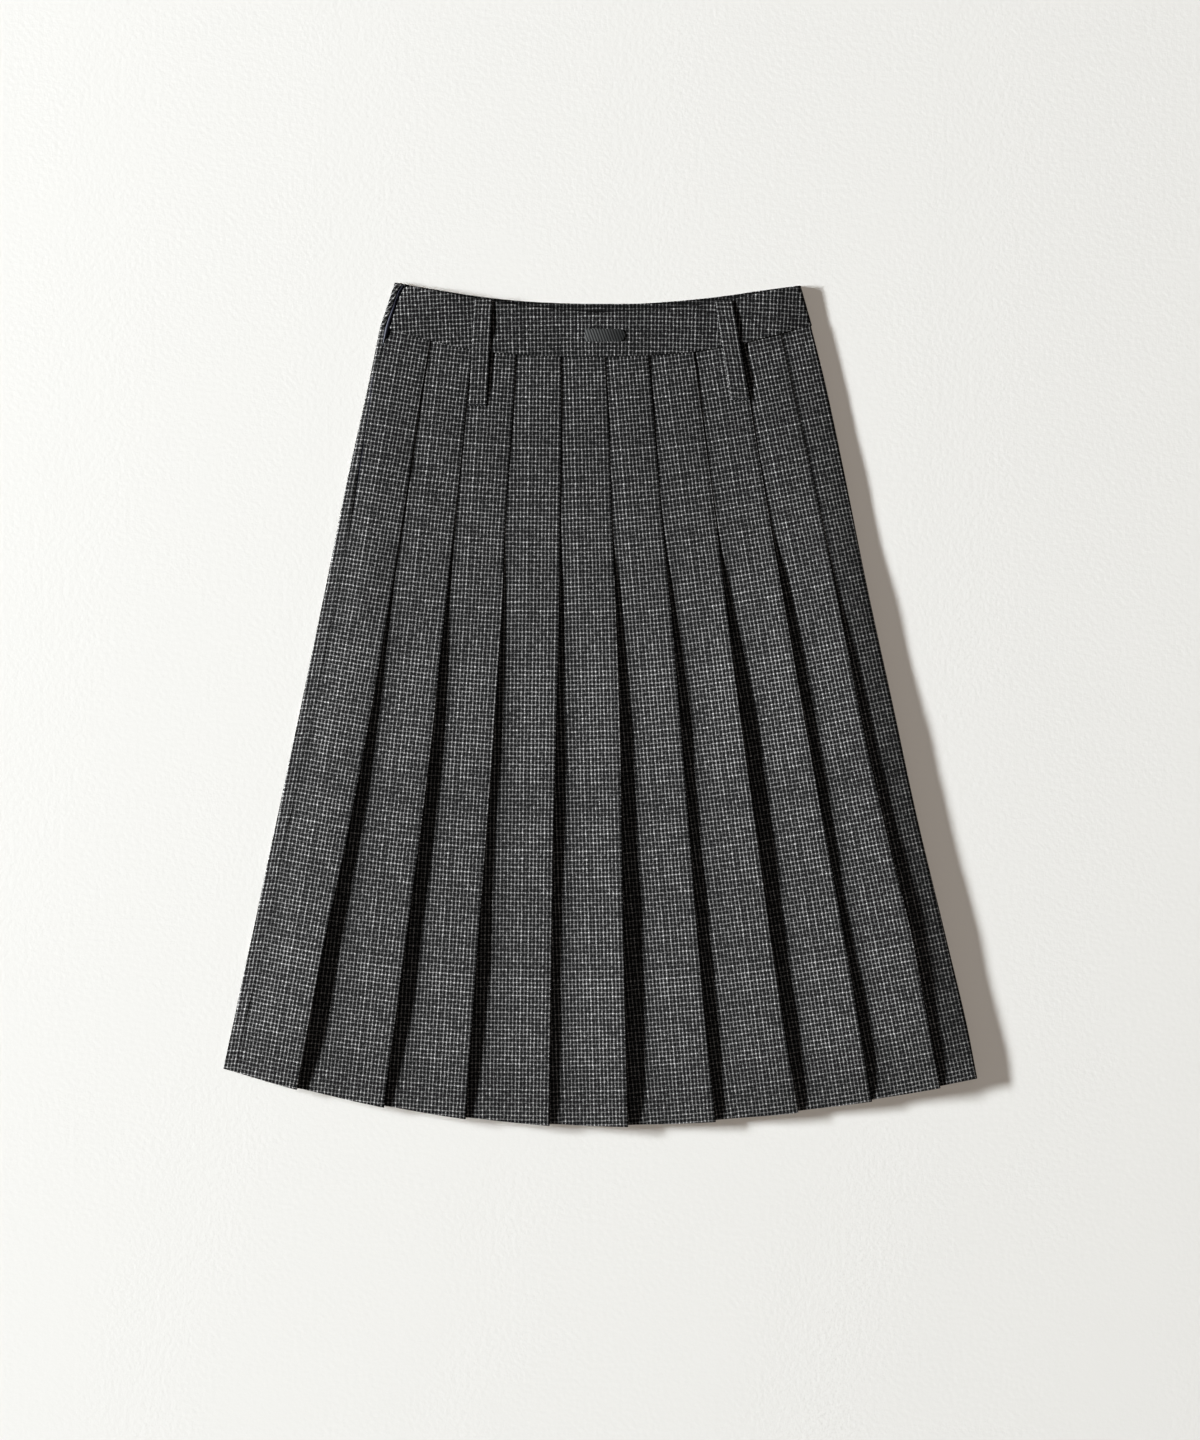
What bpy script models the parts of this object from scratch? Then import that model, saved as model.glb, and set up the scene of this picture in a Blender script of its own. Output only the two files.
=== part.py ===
"""Pleated midi skirt lying on its back: waist towards +Y, hem towards -Y, front up (+Z).

Every cloth piece is a mid-surface of named sections that a Solidify modifier gives its wall.
Lengths are in millimetres in the tables and are scaled to metres when a mesh is made.
"""
import math

import bmesh
import bpy

MM = 0.001

# ---------------------------------------------------------------- driving dimensions (mm)
CLOTH = 1.05                 # wall of the skirt cloth
BAND = 2.4                   # wall of the two-ply waistband
LOOP = 1.6                   # wall of the folded belt loops
TAPE = 1.0                   # wall of the zip tape
TAB = 1.0                    # wall of the sewn-on tab
PLY = 1.5                    # from one pressed layer's middle to the next one's
SEAM_GAP = 0.3               # clearance where two pieces meet
PLEATS = 9                   # knife pleats across the front, and as many across the back
DEPTH_WAIST = 18.0           # how far a pleat tucks in behind its fold, at the waist seam
DEPTH_HEM = 30.0             # the same at the hem
TUCKED_UP = 1.8              # tucked layers end this much above the fold's corner at the hem
RELEASE_SPREAD = 0.12        # share of the length over which a released fold springs open
CREST = 2.0                  # a visible panel lies on its tucked layers this far before them
LIFT_POWER = 2.0             # how sharply a released panel rises to its fold
DESCENT = 8.0                # run in which a back pleat comes down to the surface again
DESCENT_STEPS = (0.0, 0.3, 0.7, 1.0)
SIDE_PANEL_STEPS = (0.0, 0.25, 0.5, 0.75)   # points across the last panel, before the right roll
SEAM_TURN = 7.0              # how far the front runs on under the right edge to its seam
BAND_TURN = 4.0              # the same for the front waistband
BAND_STEPS = 18              # straight runs along a waistband
BAND_TOP_LEFT = -175.5       # waistband's top corners
BAND_TOP_RIGHT = 171.5
BAND_PROUD = 1.0             # how far the waistband's lower right corner stands out past the skirt
PANEL_CLEAR = 0.35           # clearance between the back's top layer and the front
ZIP_SHARES = (0.04, 0.08, 0.15, 0.22, 0.30)   # stations of the zip tape down the skirt's length
ZIP_HEIGHTS = (0.94, 0.5, 0.0)                # and down the waistband, 1 being its top
TAPE_INSET = 4.1             # from the waistband's left edge to the tape
TAPE_UNDER_BACK = 1.2        # how far the tape reaches under the back's side of the opening
TAPE_UNDER_FRONT = 3.5       # and under the front's side
TAPE_RISE = 0.36             # its climb to the thinner skirt cloth's underside, to the first station

BACK_MID = CLOTH / 2                              # back cloth lies on the surface
BACK_TOP = BACK_MID + 2 * PLY + CLOTH / 2         # top of the back's three layers
FRONT_MID = BACK_TOP + PANEL_CLEAR + CLOTH / 2    # front cloth's lowest middle
BAND_BACK_MID = BAND / 2
BAND_FRONT_MID = 7.1
TAPE_MID = BAND_FRONT_MID - BAND / 2 - SEAM_GAP - TAPE / 2

# share of the length (0 waist seam, 1 hem) with the two silhouette edges and the side rolls
SILHOUETTE = {
    "share":      (0.0,    0.08,   0.20,   0.35,   0.50,   0.65,   0.80,   0.92,   1.0),
    "left":       (-187.7, -198.2, -215.1, -234.5, -254.3, -274.5, -294.8, -311.2, -322.2),
    "right":      (180.3,  193.1,  209.4,  228.7,  249.7,  270.3,  293.5,  312.0,  322.2),
    "left_roll":  (7.1,    7.1,    7.1,    7.3,    7.6,    7.8,    8.0,    8.0,    8.0),
    "right_roll": (7.6,    8.2,    9.2,    10.2,   10.8,   11.0,   10.8,   10.6,   10.4),
    "seam_inset": (4.6,    4.6,    7.0,    9.0,    9.0,    9.0,    9.0,    9.0,    9.0),
    "zip_open":   (4.6,    0.3,    0.3,    0.3,    0.3,    0.3,    0.3,    0.3,    0.3),
}

# fraction across (-1 left edge, +1 right edge) with the height of each edge line
EDGE_LINES = {
    "across":    (-1.0,   -0.8,   -0.6,   -0.4,   -0.2,   0.0,    0.2,    0.4,    0.6,    0.8,    1.0),
    "seam":      (322.8,  311.7,  303.4,  298.9,  296.6,  296.3,  297.2,  299.6,  304.8,  313.2,  323.3),
    "hem":       (-311.7, -328.6, -342.0, -351.8, -357.9, -360.2, -358.4, -352.8, -344.6, -333.6, -319.4),
    "back_top":  (360.2,  353.6,  348.0,  344.4,  342.4,  341.6,  342.0,  344.0,  347.5,  352.2,  356.9),
    "front_top": (356.6,  351.6,  346.2,  340.9,  337.2,  335.4,  335.6,  337.6,  344.0,  350.6,  355.6),
}

# each front fold: where its raised edge lies at five shares of the length, the share at which its
# stitching ends, and how far the edge stands above the next panel at three shares
FOLDS = {
    "share":   (0.0,    0.2,    0.42,   0.7,    1.0),
    "rows": (
        (-145.4, -165.1, -188.2, -221.4, -259.5),
        (-109.2, -122.6, -138.0, -159.2, -185.2),
        (-72.2,  -80.5,  -88.2,  -101.3, -115.7),
        (-33.7,  -34.3,  -36.6,  -41.4,  -44.0),
        (3.8,    9.7,    15.0,   18.6,   22.9),
        (41.2,   52.0,   64.6,   79.8,   97.8),
        (79.9,   97.0,   113.4,  138.6,  168.3),
        (121.5,  141.1,  164.6,  197.8,  231.1),
        (154.3,  182.8,  210.2,  249.2,  289.2),
    ),
    "release": (0.33, 0.31, 0.31, 0.30, 0.30, 0.29, 0.27, 0.27, 0.28),
    "lift_share": (0.47, 0.65, 1.0),
    "lifts": (
        (3.4, 4.6, 5.6),
        (3.9, 5.4, 5.2),
        (3.2, 3.6, 4.8),
        (3.3, 4.2, 4.2),
        (3.4, 5.7, 6.6),
        (3.9, 3.8, 5.0),
        (5.6, 6.6, 5.6),
        (4.2, 3.8, 4.2),
        (4.6, 6.6, 8.0),
    ),
}

STATIONS = (0.0, 0.08, 0.2, 0.3, 0.37, 0.45, 0.56, 0.68, 0.84, 1.0)
BAND_ROWS = (0.0, 0.5, 1.0)

PANEL_STEPS = (0.0, 0.14, 0.34, 0.6, 0.82)    # points along a visible panel, before its fold
TURN_STEPS = 3                               # straight runs in a pressed fold
ROLL_STEPS = 6                               # straight runs in a side roll

CLOTH_COLOUR = (0.030, 0.030, 0.031, 1.0)
TAPE_COLOUR = (0.016, 0.017, 0.024, 1.0)
TAB_COLOUR = (0.014, 0.014, 0.015, 1.0)


# ---------------------------------------------------------------- smooth tables
def curve(at, values, x):
    """Smooth line through a short table, held straight beyond its ends."""
    count = len(at)
    place = 0
    while place < count - 2 and x > at[place + 1]:
        place += 1

    def slope(i):
        low, high = max(i - 1, 0), min(i + 1, count - 1)
        return (values[high] - values[low]) / (at[high] - at[low])

    span = at[place + 1] - at[place]
    t = (x - at[place]) / span
    if t < 0.0:
        return values[place] + slope(place) * span * t
    if t > 1.0:
        return values[place + 1] + slope(place + 1) * span * (t - 1.0)
    a, b = values[place], values[place + 1]
    rise_a, rise_b = slope(place) * span, slope(place + 1) * span
    return (a * (2 * t ** 3 - 3 * t ** 2 + 1) + rise_a * (t ** 3 - 2 * t ** 2 + t)
            + b * (3 * t ** 2 - 2 * t ** 3) + rise_b * (t ** 3 - t ** 2))


def side(column, share):
    return curve(SILHOUETTE["share"], SILHOUETTE[column], share)


def edge_line(column, across):
    across = min(max(across, -1.0), 1.0)
    return curve(EDGE_LINES["across"], EDGE_LINES[column], across)


def smooth(t):
    t = min(max(t, 0.0), 1.0)
    return t * t * (3.0 - 2.0 * t)


def fold_x(fold, share):
    return curve(FOLDS["share"], FOLDS["rows"][fold], share)


def fold_lift(fold, share):
    """Height of a fold's middle above the next panel's: pressed to the release, free below."""
    pressed = 2 * PLY
    release = FOLDS["release"][fold]
    free = curve(FOLDS["lift_share"], FOLDS["lifts"][fold], max(share, FOLDS["lift_share"][0]))
    return pressed + (free - pressed) * smooth((share - release) / RELEASE_SPREAD)


def pleat_depth(share):
    return DEPTH_WAIST + (DEPTH_HEM - DEPTH_WAIST) * share


def length_line(x, share):
    """Height on the page of a point at x on the section at this share of the length."""
    left, right = side("left", share), side("right", share)
    across = 2 * (x - left) / (right - left) - 1
    return (1 - share) * (edge_line("seam", across) - SEAM_GAP / 2) + share * edge_line("hem", across)


def arc(centre_x, centre_z, reach, height, start, stop, steps):
    """Points of an elliptic turn; angles in degrees from +X, towards +Z."""
    points = []
    for step in range(steps + 1):
        angle = math.radians(start + (stop - start) * step / steps)
        points.append((centre_x + reach * math.cos(angle), centre_z + height * math.sin(angle)))
    return points


# ---------------------------------------------------------------- skirt front
def front_section(share):
    """(x, z, tucked) of the front's middle line, from the zip seam to the seam under the right edge."""
    left, right = side("left", share), side("right", share)
    depth = pleat_depth(share)
    radius = PLY / 2
    start = left + side("seam_inset", share) + side("zip_open", share)
    points = []
    for panel in range(PLEATS):
        low = start if panel == 0 else fold_x(panel - 1, share)
        high = fold_x(panel, share)
        lift = fold_lift(panel, share)
        inner = high - depth

        def top(x):
            climb = smooth((x - low) / (inner - CREST - low))
            free = ((x - low) / (high - low)) ** LIFT_POWER
            z = FRONT_MID + 2 * PLY * climb + (lift - 2 * PLY) * free
            if panel == 0:
                fade = max(1 - (x - low) / (inner - low), 0.0) ** 1.4
                z += (side("left_roll", share) - FRONT_MID) * fade
            return z

        last = high - radius
        for step in PANEL_STEPS:
            x = low + (last - low) * step
            points.append((x, top(x), 0.0))
        crease = top(last)
        for x, z in arc(last, crease - radius, radius, radius, 90, -90, TURN_STEPS):
            points.append((x, z, 0.0))
        middle = (last + inner + radius) / 2
        points.append((middle, top(middle) - PLY, 1.0))
        floor_z = FRONT_MID
        under = top(inner + radius) - PLY
        half = (under - floor_z) / 2
        for x, z in arc(inner + radius, floor_z + half, radius, half, 90, 270, TURN_STEPS):
            points.append((x, z, 1.0))
    low = fold_x(PLEATS - 1, share)
    roll_top = side("right_roll", share)
    roll = (roll_top - BACK_MID) / 2
    roll_x = right - CLOTH / 2 - roll
    for step in SIDE_PANEL_STEPS:
        x = low + (roll_x - low) * step
        points.append((x, FRONT_MID + (roll_top - FRONT_MID) * smooth(step), 0.0))
    for x, z in arc(roll_x, BACK_MID + roll, roll, roll, 90, -90, ROLL_STEPS):
        points.append((x, z, 0.0))
    points.append((roll_x - SEAM_TURN, BACK_MID, 0.0))
    return points


# ---------------------------------------------------------------- skirt back
def back_fold_x(fold, share):
    """Back folds lie evenly; fold 0 is nearest the right edge."""
    left, right = side("left", share), side("right", share)
    return right + (left - right) * (fold + 1) / (PLEATS + 1)


def back_section(share):
    """(x, z, tucked) of the back's middle line, from the seam under the right edge to the zip seam."""
    left, right = side("left", share), side("right", share)
    depth = pleat_depth(share)
    radius = PLY / 2
    roll = (side("right_roll", share) - BACK_MID) / 2
    points = [(right - CLOTH / 2 - roll - SEAM_TURN - SEAM_GAP, BACK_MID, 0.0)]
    for fold in range(PLEATS):
        edge = back_fold_x(fold, share)
        inner = edge + depth
        for x, z in arc(edge + radius, BACK_MID + radius, radius, radius, 270, 90, TURN_STEPS):
            points.append((x, z, 0.0))
        for x, z in arc(inner - radius, BACK_MID + 3 * radius, radius, radius, -90, 90, TURN_STEPS):
            points.append((x, z, 1.0))
        for step in DESCENT_STEPS:
            points.append((edge - SEAM_GAP - DESCENT * step, BACK_MID + 2 * PLY * (1 - smooth(step)),
                           1.0 - step))
    roll_top = side("left_roll", share)
    roll = (roll_top - BACK_MID) / 2
    roll_x = left + CLOTH / 2 + roll
    for x, z in arc(roll_x, BACK_MID + roll, roll, roll, 270, 90, ROLL_STEPS):
        points.append((x, z, 0.0))
    points.append((left + side("seam_inset", share), roll_top, 0.0))
    return points


# ---------------------------------------------------------------- meshes
def material(name, colour, roughness):
    made = bpy.data.materials.new(name)
    made.use_nodes = True
    shader = made.node_tree.nodes["Principled BSDF"]
    shader.inputs["Base Color"].default_value = colour
    shader.inputs["Roughness"].default_value = roughness
    shader.inputs["Metallic"].default_value = 0.0
    return made


def sheet(name, rows, wall, finish, flip=False):
    """A grid of rows of points in mm, made a wall by Solidify."""
    mesh = bpy.data.meshes.new(name)
    shape = bmesh.new()
    grid = [[shape.verts.new((x * MM, y * MM, z * MM)) for x, y, z in row] for row in rows]
    for lower, upper in zip(grid, grid[1:]):
        for place in range(len(lower) - 1):
            corners = [lower[place], lower[place + 1], upper[place + 1], upper[place]]
            shape.faces.new(corners[::-1] if flip else corners)
    shape.to_mesh(mesh)
    shape.free()
    piece = bpy.data.objects.new(name, mesh)
    bpy.context.scene.collection.objects.link(piece)
    mesh.materials.append(finish)
    solid = piece.modifiers.new("wall", "SOLIDIFY")
    solid.thickness = wall * MM
    solid.offset = 0.0
    solid.use_even_offset = True
    solid.use_quality_normals = True
    return piece


def skirt_rows(section):
    """The section's points at each station, tucked layers drawn up a little at the hem."""
    rows = []
    for share in STATIONS:
        row = []
        for x, z, tucked in section(share):
            row.append((x, length_line(x, share) + TUCKED_UP * tucked * share, z))
        rows.append(row)
    return rows


def band_edges(height):
    """The waistband's left and right edge; height runs from 0 at the seam to 1 at the top."""
    left = (1 - height) * side("left", 0.0) + height * BAND_TOP_LEFT
    right = (1 - height) * side("right", 0.0) + height * BAND_TOP_RIGHT
    return left, right


def band_rows(section, top_line):
    """Rows of a waistband; where it runs round an edge to the back its top meets the back's."""
    drop = BAND_FRONT_MID - BAND_BACK_MID
    rows = []
    for height in BAND_ROWS:
        left, right = band_edges(height)
        row = []
        for x, z in section(left, right + BAND_PROUD * (1 - height)):
            across = 2 * (x - left) / (right - left) - 1
            low = edge_line("seam", across) + SEAM_GAP / 2
            under = (BAND_FRONT_MID - z) / drop
            high = (1 - under) * edge_line(top_line, across) + under * edge_line("back_top", across)
            row.append((x, low + (high - low) * height, z))
        rows.append(row)
    return rows


def front_band_section(left, right):
    roll = (BAND_FRONT_MID - BAND_BACK_MID) / 2
    start = left + side("seam_inset", 0.0) + side("zip_open", 0.0)
    stop = right - BAND / 2 - roll
    points = [(start + (stop - start) * step / BAND_STEPS, BAND_FRONT_MID) for step in range(BAND_STEPS)]
    points += arc(stop, BAND_BACK_MID + roll, roll, roll, 90, -90, ROLL_STEPS)
    points.append((stop - BAND_TURN, BAND_BACK_MID))
    return points


def back_band_section(left, right):
    roll = (BAND_FRONT_MID - BAND_BACK_MID) / 2
    start = right - BAND / 2 - roll - BAND_TURN - SEAM_GAP
    stop = left + BAND / 2 + roll
    points = [(start + (stop - start) * step / BAND_STEPS, BAND_BACK_MID) for step in range(BAND_STEPS)]
    points += arc(stop, BAND_BACK_MID + roll, roll, roll, 270, 90, ROLL_STEPS)
    points.append((left + side("seam_inset", 0.0), BAND_FRONT_MID))
    return points


# each belt loop: left and right edge at its top and at its lower end
BELT_LOOPS = {
    "belt_loop_left":  {"top": (-106.4, -89.4), "low": (-111.0, -96.4), "low_y": 257.0},
    "belt_loop_right": {"top": (97.6, 114.0),   "low": (111.0, 127.6),  "low_y": 263.0},
}
# along a loop (0 top, 1 lower end): how far its middle stands off its seat
LOOP_STAND = {"along": (0.0, 0.1, 0.3, 0.55, 0.8, 0.92, 1.0), "off": (0.0, 0.1, 2.0, 2.8, 1.6, 0.2, 0.0)}
LOOP_OVER_TOP = 0.6          # a loop folds over the waistband's top edge by this much
LOOP_CROWN = 0.15            # and is this much rounder along its middle
LOOP_SEAT_TOP = BAND_FRONT_MID + BAND / 2 + SEAM_GAP + LOOP / 2
LOOP_SEAT_LOW = FRONT_MID + 2 * PLY + CLOTH / 2 + SEAM_GAP + LOOP / 2


def belt_loop_rows(size):
    rows = []
    left, right = band_edges(1.0)
    across = (sum(size["top"]) - 2 * left) / (right - left) - 1
    top_y = edge_line("front_top", across) + LOOP_OVER_TOP
    for along, off in zip(LOOP_STAND["along"], LOOP_STAND["off"]):
        low = size["top"][0] + (size["low"][0] - size["top"][0]) * along
        high = size["top"][1] + (size["low"][1] - size["top"][1]) * along
        y = top_y + (size["low_y"] - top_y) * along
        z = LOOP_SEAT_TOP + (LOOP_SEAT_LOW - LOOP_SEAT_TOP) * along + off
        rows.append([(low, y, z), ((low + high) / 2, y, z + LOOP_CROWN), (high, y, z)])
    return rows


def zip_tape_rows():
    """The tape lies just under both sides of the opening, down the waistband and the skirt."""
    rows = []
    inset, gap = side("seam_inset", 0.0), side("zip_open", 0.0)
    low, high = edge_line("seam", -1.0), edge_line("back_top", -1.0)
    for height in ZIP_HEIGHTS:
        left, _ = band_edges(height)
        ends = (left + TAPE_INSET, left + inset + gap + TAPE_UNDER_FRONT)
        rows.append([(x, low + (high - low) * height, TAPE_MID) for x in (ends[0], sum(ends) / 2, ends[1])])
    for share in ZIP_SHARES:
        seam = side("left", share) + side("seam_inset", share)
        ends = (seam - TAPE_UNDER_BACK, seam + side("zip_open", share) + TAPE_UNDER_FRONT)
        y = length_line(ends[0], share)
        under = side("left_roll", share) - CLOTH / 2 - SEAM_GAP - TAPE / 2
        z = min(under, TAPE_MID + TAPE_RISE * share / ZIP_SHARES[0])
        rows.append([(x, y, z) for x in (ends[0], sum(ends) / 2, ends[1])])
    return rows


# the tab: a strip with square left corners and a round right end
TAB_LEFT, TAB_RIGHT = -13.0, 21.5
TAB_LOW, TAB_HIGH = 309.2, 320.0
TAB_END_STEPS = 8


def tab(finish):
    mesh = bpy.data.meshes.new("waist_tab")
    shape = bmesh.new()
    radius = (TAB_HIGH - TAB_LOW) / 2
    outline = [(TAB_LEFT, TAB_HIGH), (TAB_LEFT, TAB_LOW)]
    for step in range(TAB_END_STEPS + 1):
        angle = math.radians(-90 + 180 * step / TAB_END_STEPS)
        outline.append((TAB_RIGHT - radius + radius * math.cos(angle),
                        (TAB_LOW + TAB_HIGH) / 2 + radius * math.sin(angle)))
    seat = (BAND_FRONT_MID + BAND / 2 + SEAM_GAP) * MM
    face = shape.faces.new([shape.verts.new((x * MM, y * MM, seat)) for x, y in outline])
    raised = bmesh.ops.extrude_face_region(shape, geom=[face])["geom"]
    corners = [item for item in raised if isinstance(item, bmesh.types.BMVert)]
    bmesh.ops.translate(shape, verts=corners, vec=(0.0, 0.0, TAB * MM))
    bmesh.ops.recalc_face_normals(shape, faces=shape.faces)
    shape.to_mesh(mesh)
    shape.free()
    piece = bpy.data.objects.new("waist_tab", mesh)
    bpy.context.scene.collection.objects.link(piece)
    mesh.materials.append(finish)
    return piece


def main():
    for leftover in list(bpy.data.objects):
        bpy.data.objects.remove(leftover)
    sheet("skirt_front", skirt_rows(front_section), CLOTH,
          material("front_cloth", CLOTH_COLOUR, 0.9), flip=True)
    sheet("skirt_back", skirt_rows(back_section), CLOTH,
          material("back_cloth", CLOTH_COLOUR, 0.9), flip=True)
    sheet("waistband_front", band_rows(front_band_section, "front_top"), BAND,
          material("front_band_cloth", CLOTH_COLOUR, 0.9))
    sheet("waistband_back", band_rows(back_band_section, "back_top"), BAND,
          material("back_band_cloth", CLOTH_COLOUR, 0.9))
    for name, size in BELT_LOOPS.items():
        sheet(name, belt_loop_rows(size), LOOP, material(name + "_cloth", CLOTH_COLOUR, 0.9), flip=True)
    sheet("zip_tape", zip_tape_rows(), TAPE, material("tape_satin", TAPE_COLOUR, 0.45), flip=True)
    tab(material("tab_cloth", TAB_COLOUR, 0.7))


main()
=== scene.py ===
# %% [markdown]
# # A pleated midi skirt, laid flat
# The skirt is wool cloth woven in a small dark check. It has nine knife pleats across the front and nine
# across the back, a curved waistband, two belt loops, a small sewn-on tab and a side zip. It lies on its
# back, so everything is thin: the whole object is as wide as an open newspaper and only a finger high.
#
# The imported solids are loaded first. They are the fixed frame that every piece of cloth is laid on.

# %% Load the solids
import math

import bpy
import numpy as np
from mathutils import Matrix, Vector


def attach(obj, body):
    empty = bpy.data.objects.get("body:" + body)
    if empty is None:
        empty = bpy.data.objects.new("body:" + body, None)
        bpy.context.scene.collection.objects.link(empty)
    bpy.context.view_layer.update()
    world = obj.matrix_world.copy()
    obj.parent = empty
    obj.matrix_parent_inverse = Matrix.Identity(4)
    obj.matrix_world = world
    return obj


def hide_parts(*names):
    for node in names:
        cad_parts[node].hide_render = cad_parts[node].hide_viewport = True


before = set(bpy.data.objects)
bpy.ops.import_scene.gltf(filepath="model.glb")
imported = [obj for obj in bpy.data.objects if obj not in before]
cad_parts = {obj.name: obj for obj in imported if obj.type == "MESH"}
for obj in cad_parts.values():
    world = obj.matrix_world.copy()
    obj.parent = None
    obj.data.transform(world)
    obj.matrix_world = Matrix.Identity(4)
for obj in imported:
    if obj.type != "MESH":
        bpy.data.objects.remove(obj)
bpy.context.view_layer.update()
MM = 0.001
print("solids:", sorted(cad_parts))

# %% [markdown]
# ## Camera
# The skirt is seen from straight above, with the waist at the top of the picture. A long lens from nearly
# three metres away keeps the hem and the waist at the same scale, which is how clothes are usually shown.

# %% Camera
LENS_MM = 85.0
SENSOR_MM = 36.0
VIEW_HEIGHT = 1.2298          # metres of floor from the top of the picture to its bottom
CLOTH_HEIGHT = 0.006          # the plane that this is measured in
VIEW_CENTRE = (0.0, -0.0137)
camera_data = bpy.data.cameras.new("camera")
camera_data.lens = LENS_MM
camera_data.sensor_width = SENSOR_MM
camera = bpy.data.objects.new("camera", camera_data)
bpy.context.scene.collection.objects.link(camera)
camera.location = (*VIEW_CENTRE, CLOTH_HEIGHT + VIEW_HEIGHT * LENS_MM / SENSOR_MM)
bpy.context.scene.camera = camera
print("camera height in m:", round(camera.location.z, 3))

# %% [markdown]
# ## Light
# One low strip of lamps, nearly four metres to the left, does most of the work. At about 18 degrees above the
# floor it rakes over the cloth, so each pleat throws a dark band to its right and the weave gets its relief. The
# strip runs the same way as the pleats, so their shadows stay sharp while the hem's shadow is soft. A real
# studio lamp is shaped to light the whole floor evenly, and the Light Falloff node does that here. A weak even
# sky fills the shadows. A warm soft light keeps the pale ground and its shadows open. Only the floor receives
# it, so it doesn't flatten the dark cloth, and the skirt doesn't block it; Blender calls this light linking.

# %% Lights
LAMP_PLACE = (-3.75, 0.54, 1.29)
LAMPS, STRIP_LENGTH = 5, 1.0          # the strip is a row of round lamps along Y, this long in metres
LAMP_WATTS = 102.5                    # of the whole strip
LAMP_RADIUS = 0.185
lamp_data = bpy.data.lights.new("low_lamp", "POINT")
lamp_data.energy = LAMP_WATTS / LAMPS
lamp_data.shadow_soft_size = LAMP_RADIUS
lamp_data.color = (0.92, 0.975, 1.0)
lamp_data.use_nodes = True
glow = lamp_data.node_tree.nodes["Emission"]
falloff = lamp_data.node_tree.nodes.new("ShaderNodeLightFalloff")
falloff.inputs["Strength"].default_value = 1.0
lamp_data.node_tree.links.new(falloff.outputs["Constant"], glow.inputs["Strength"])
for place_in_strip in np.linspace(-0.5, 0.5, LAMPS):
    lamp = bpy.data.objects.new("low_lamp", lamp_data)
    lamp.location = Vector(LAMP_PLACE) + Vector((0.0, STRIP_LENGTH * place_in_strip, 0.0))
    bpy.context.scene.collection.objects.link(lamp)

SKY_COLOUR, SKY_STRENGTH = (1.0, 0.96, 0.91, 1.0), 0.075
world = bpy.data.worlds.new("sky")
world.use_nodes = True
sky = world.node_tree.nodes["Background"]
sky.inputs["Color"].default_value = SKY_COLOUR
sky.inputs["Strength"].default_value = SKY_STRENGTH
bpy.context.scene.world = world
bpy.context.scene.view_settings.view_transform = "Standard"

SOFT_STRENGTH, SOFT_SPREAD = 1.09, math.radians(30.0)
SOFT_DIRECTION = Vector((0.1, -1.0, -1.15))      # from behind the waist, down over the hem
soft_data = bpy.data.lights.new("soft_top", "SUN")
soft_data.energy = SOFT_STRENGTH
soft_data.angle = SOFT_SPREAD
soft_data.color = (1.0, 0.875, 0.765)
soft_top = bpy.data.objects.new("soft_top", soft_data)
soft_top.rotation_mode = "QUATERNION"
soft_top.rotation_quaternion = SOFT_DIRECTION.to_track_quat("-Z", "Y")
soft_top.location = (0.0, 2.0, 1.8)
bpy.context.scene.collection.objects.link(soft_top)
print("lights:", LAMPS, "in the strip, and", soft_top.name)

# %% [markdown]
# ## Small helpers for materials
# A material is a chain of nodes. These helpers add a node, feed its sockets with either a number or another
# node's output, and chain sums, so that a recipe reads like arithmetic. A few more hold what every material
# here does, such as reading the cloth's own chart or turning a height into relief.


# %% Node helpers
CHART = "cloth_chart"          # the UV map of every woven piece, in metres of flat cloth
# painted shade: the waistband's inner side is darkened, and nearly black in the gap behind the front band
PAINTED_INNER_SHADE = "painted_inner_shade"      # an attribute, 1 where the waistband's inner side is darkest
# the pressed attribute flattens the wool's nap and also darkens the cloth with painted shade; on the tab it is
# painted shade alone
NAP_AND_SHADE = "pressed"            # an attribute, 1 where pressing has flattened the wool's nap


def feed(tree, socket, value):
    """A socket takes a link if the value is another socket, and otherwise the number or colour itself."""
    if isinstance(value, bpy.types.NodeSocket):
        tree.links.new(value, socket)
    else:
        socket.default_value = value


def node(tree, kind, inputs=None, **settings):
    made = tree.nodes.new(kind)
    for name, value in settings.items():
        setattr(made, name, value)
    for name, value in (inputs or {}).items():
        feed(tree, made.inputs[name], value)
    return made


def sums(tree, operation, *values):
    made = tree.nodes.new("ShaderNodeMath")
    made.operation = operation
    for socket, value in zip(made.inputs, values):
        feed(tree, socket, value)
    return made.outputs[0]


def times(tree, product, *others):
    for other in others:
        product = sums(tree, "MULTIPLY", product, other)
    return product


def scaled(tree, value, factor, plus):
    return sums(tree, "MULTIPLY_ADD", value, factor, plus)


def ramp(tree, value, low, high, to_low=0.0, to_high=1.0, style="LINEAR"):
    made = node(tree, "ShaderNodeMapRange", {"Value": value, "From Min": low, "From Max": high,
                                             "To Min": to_low, "To Max": to_high}, interpolation_type=style)
    return made.outputs["Result"]


def place(tree, x, y, z=0.0):
    return node(tree, "ShaderNodeCombineXYZ", {"X": x, "Y": y, "Z": z}).outputs["Vector"]


def noise(tree, vector, scale, detail=2.0, roughness=0.5, output="Fac"):
    made = node(tree, "ShaderNodeTexNoise", {"Vector": vector, "Scale": scale, "Detail": detail,
                                             "Roughness": roughness})
    return made.outputs[output]


def chance(tree, inputs, dimensions="3D"):
    """A random number from 0 to 1 for each whole number, or each set of them, that goes in."""
    return node(tree, "ShaderNodeTexWhiteNoise", inputs, noise_dimensions=dimensions).outputs["Value"]


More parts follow.
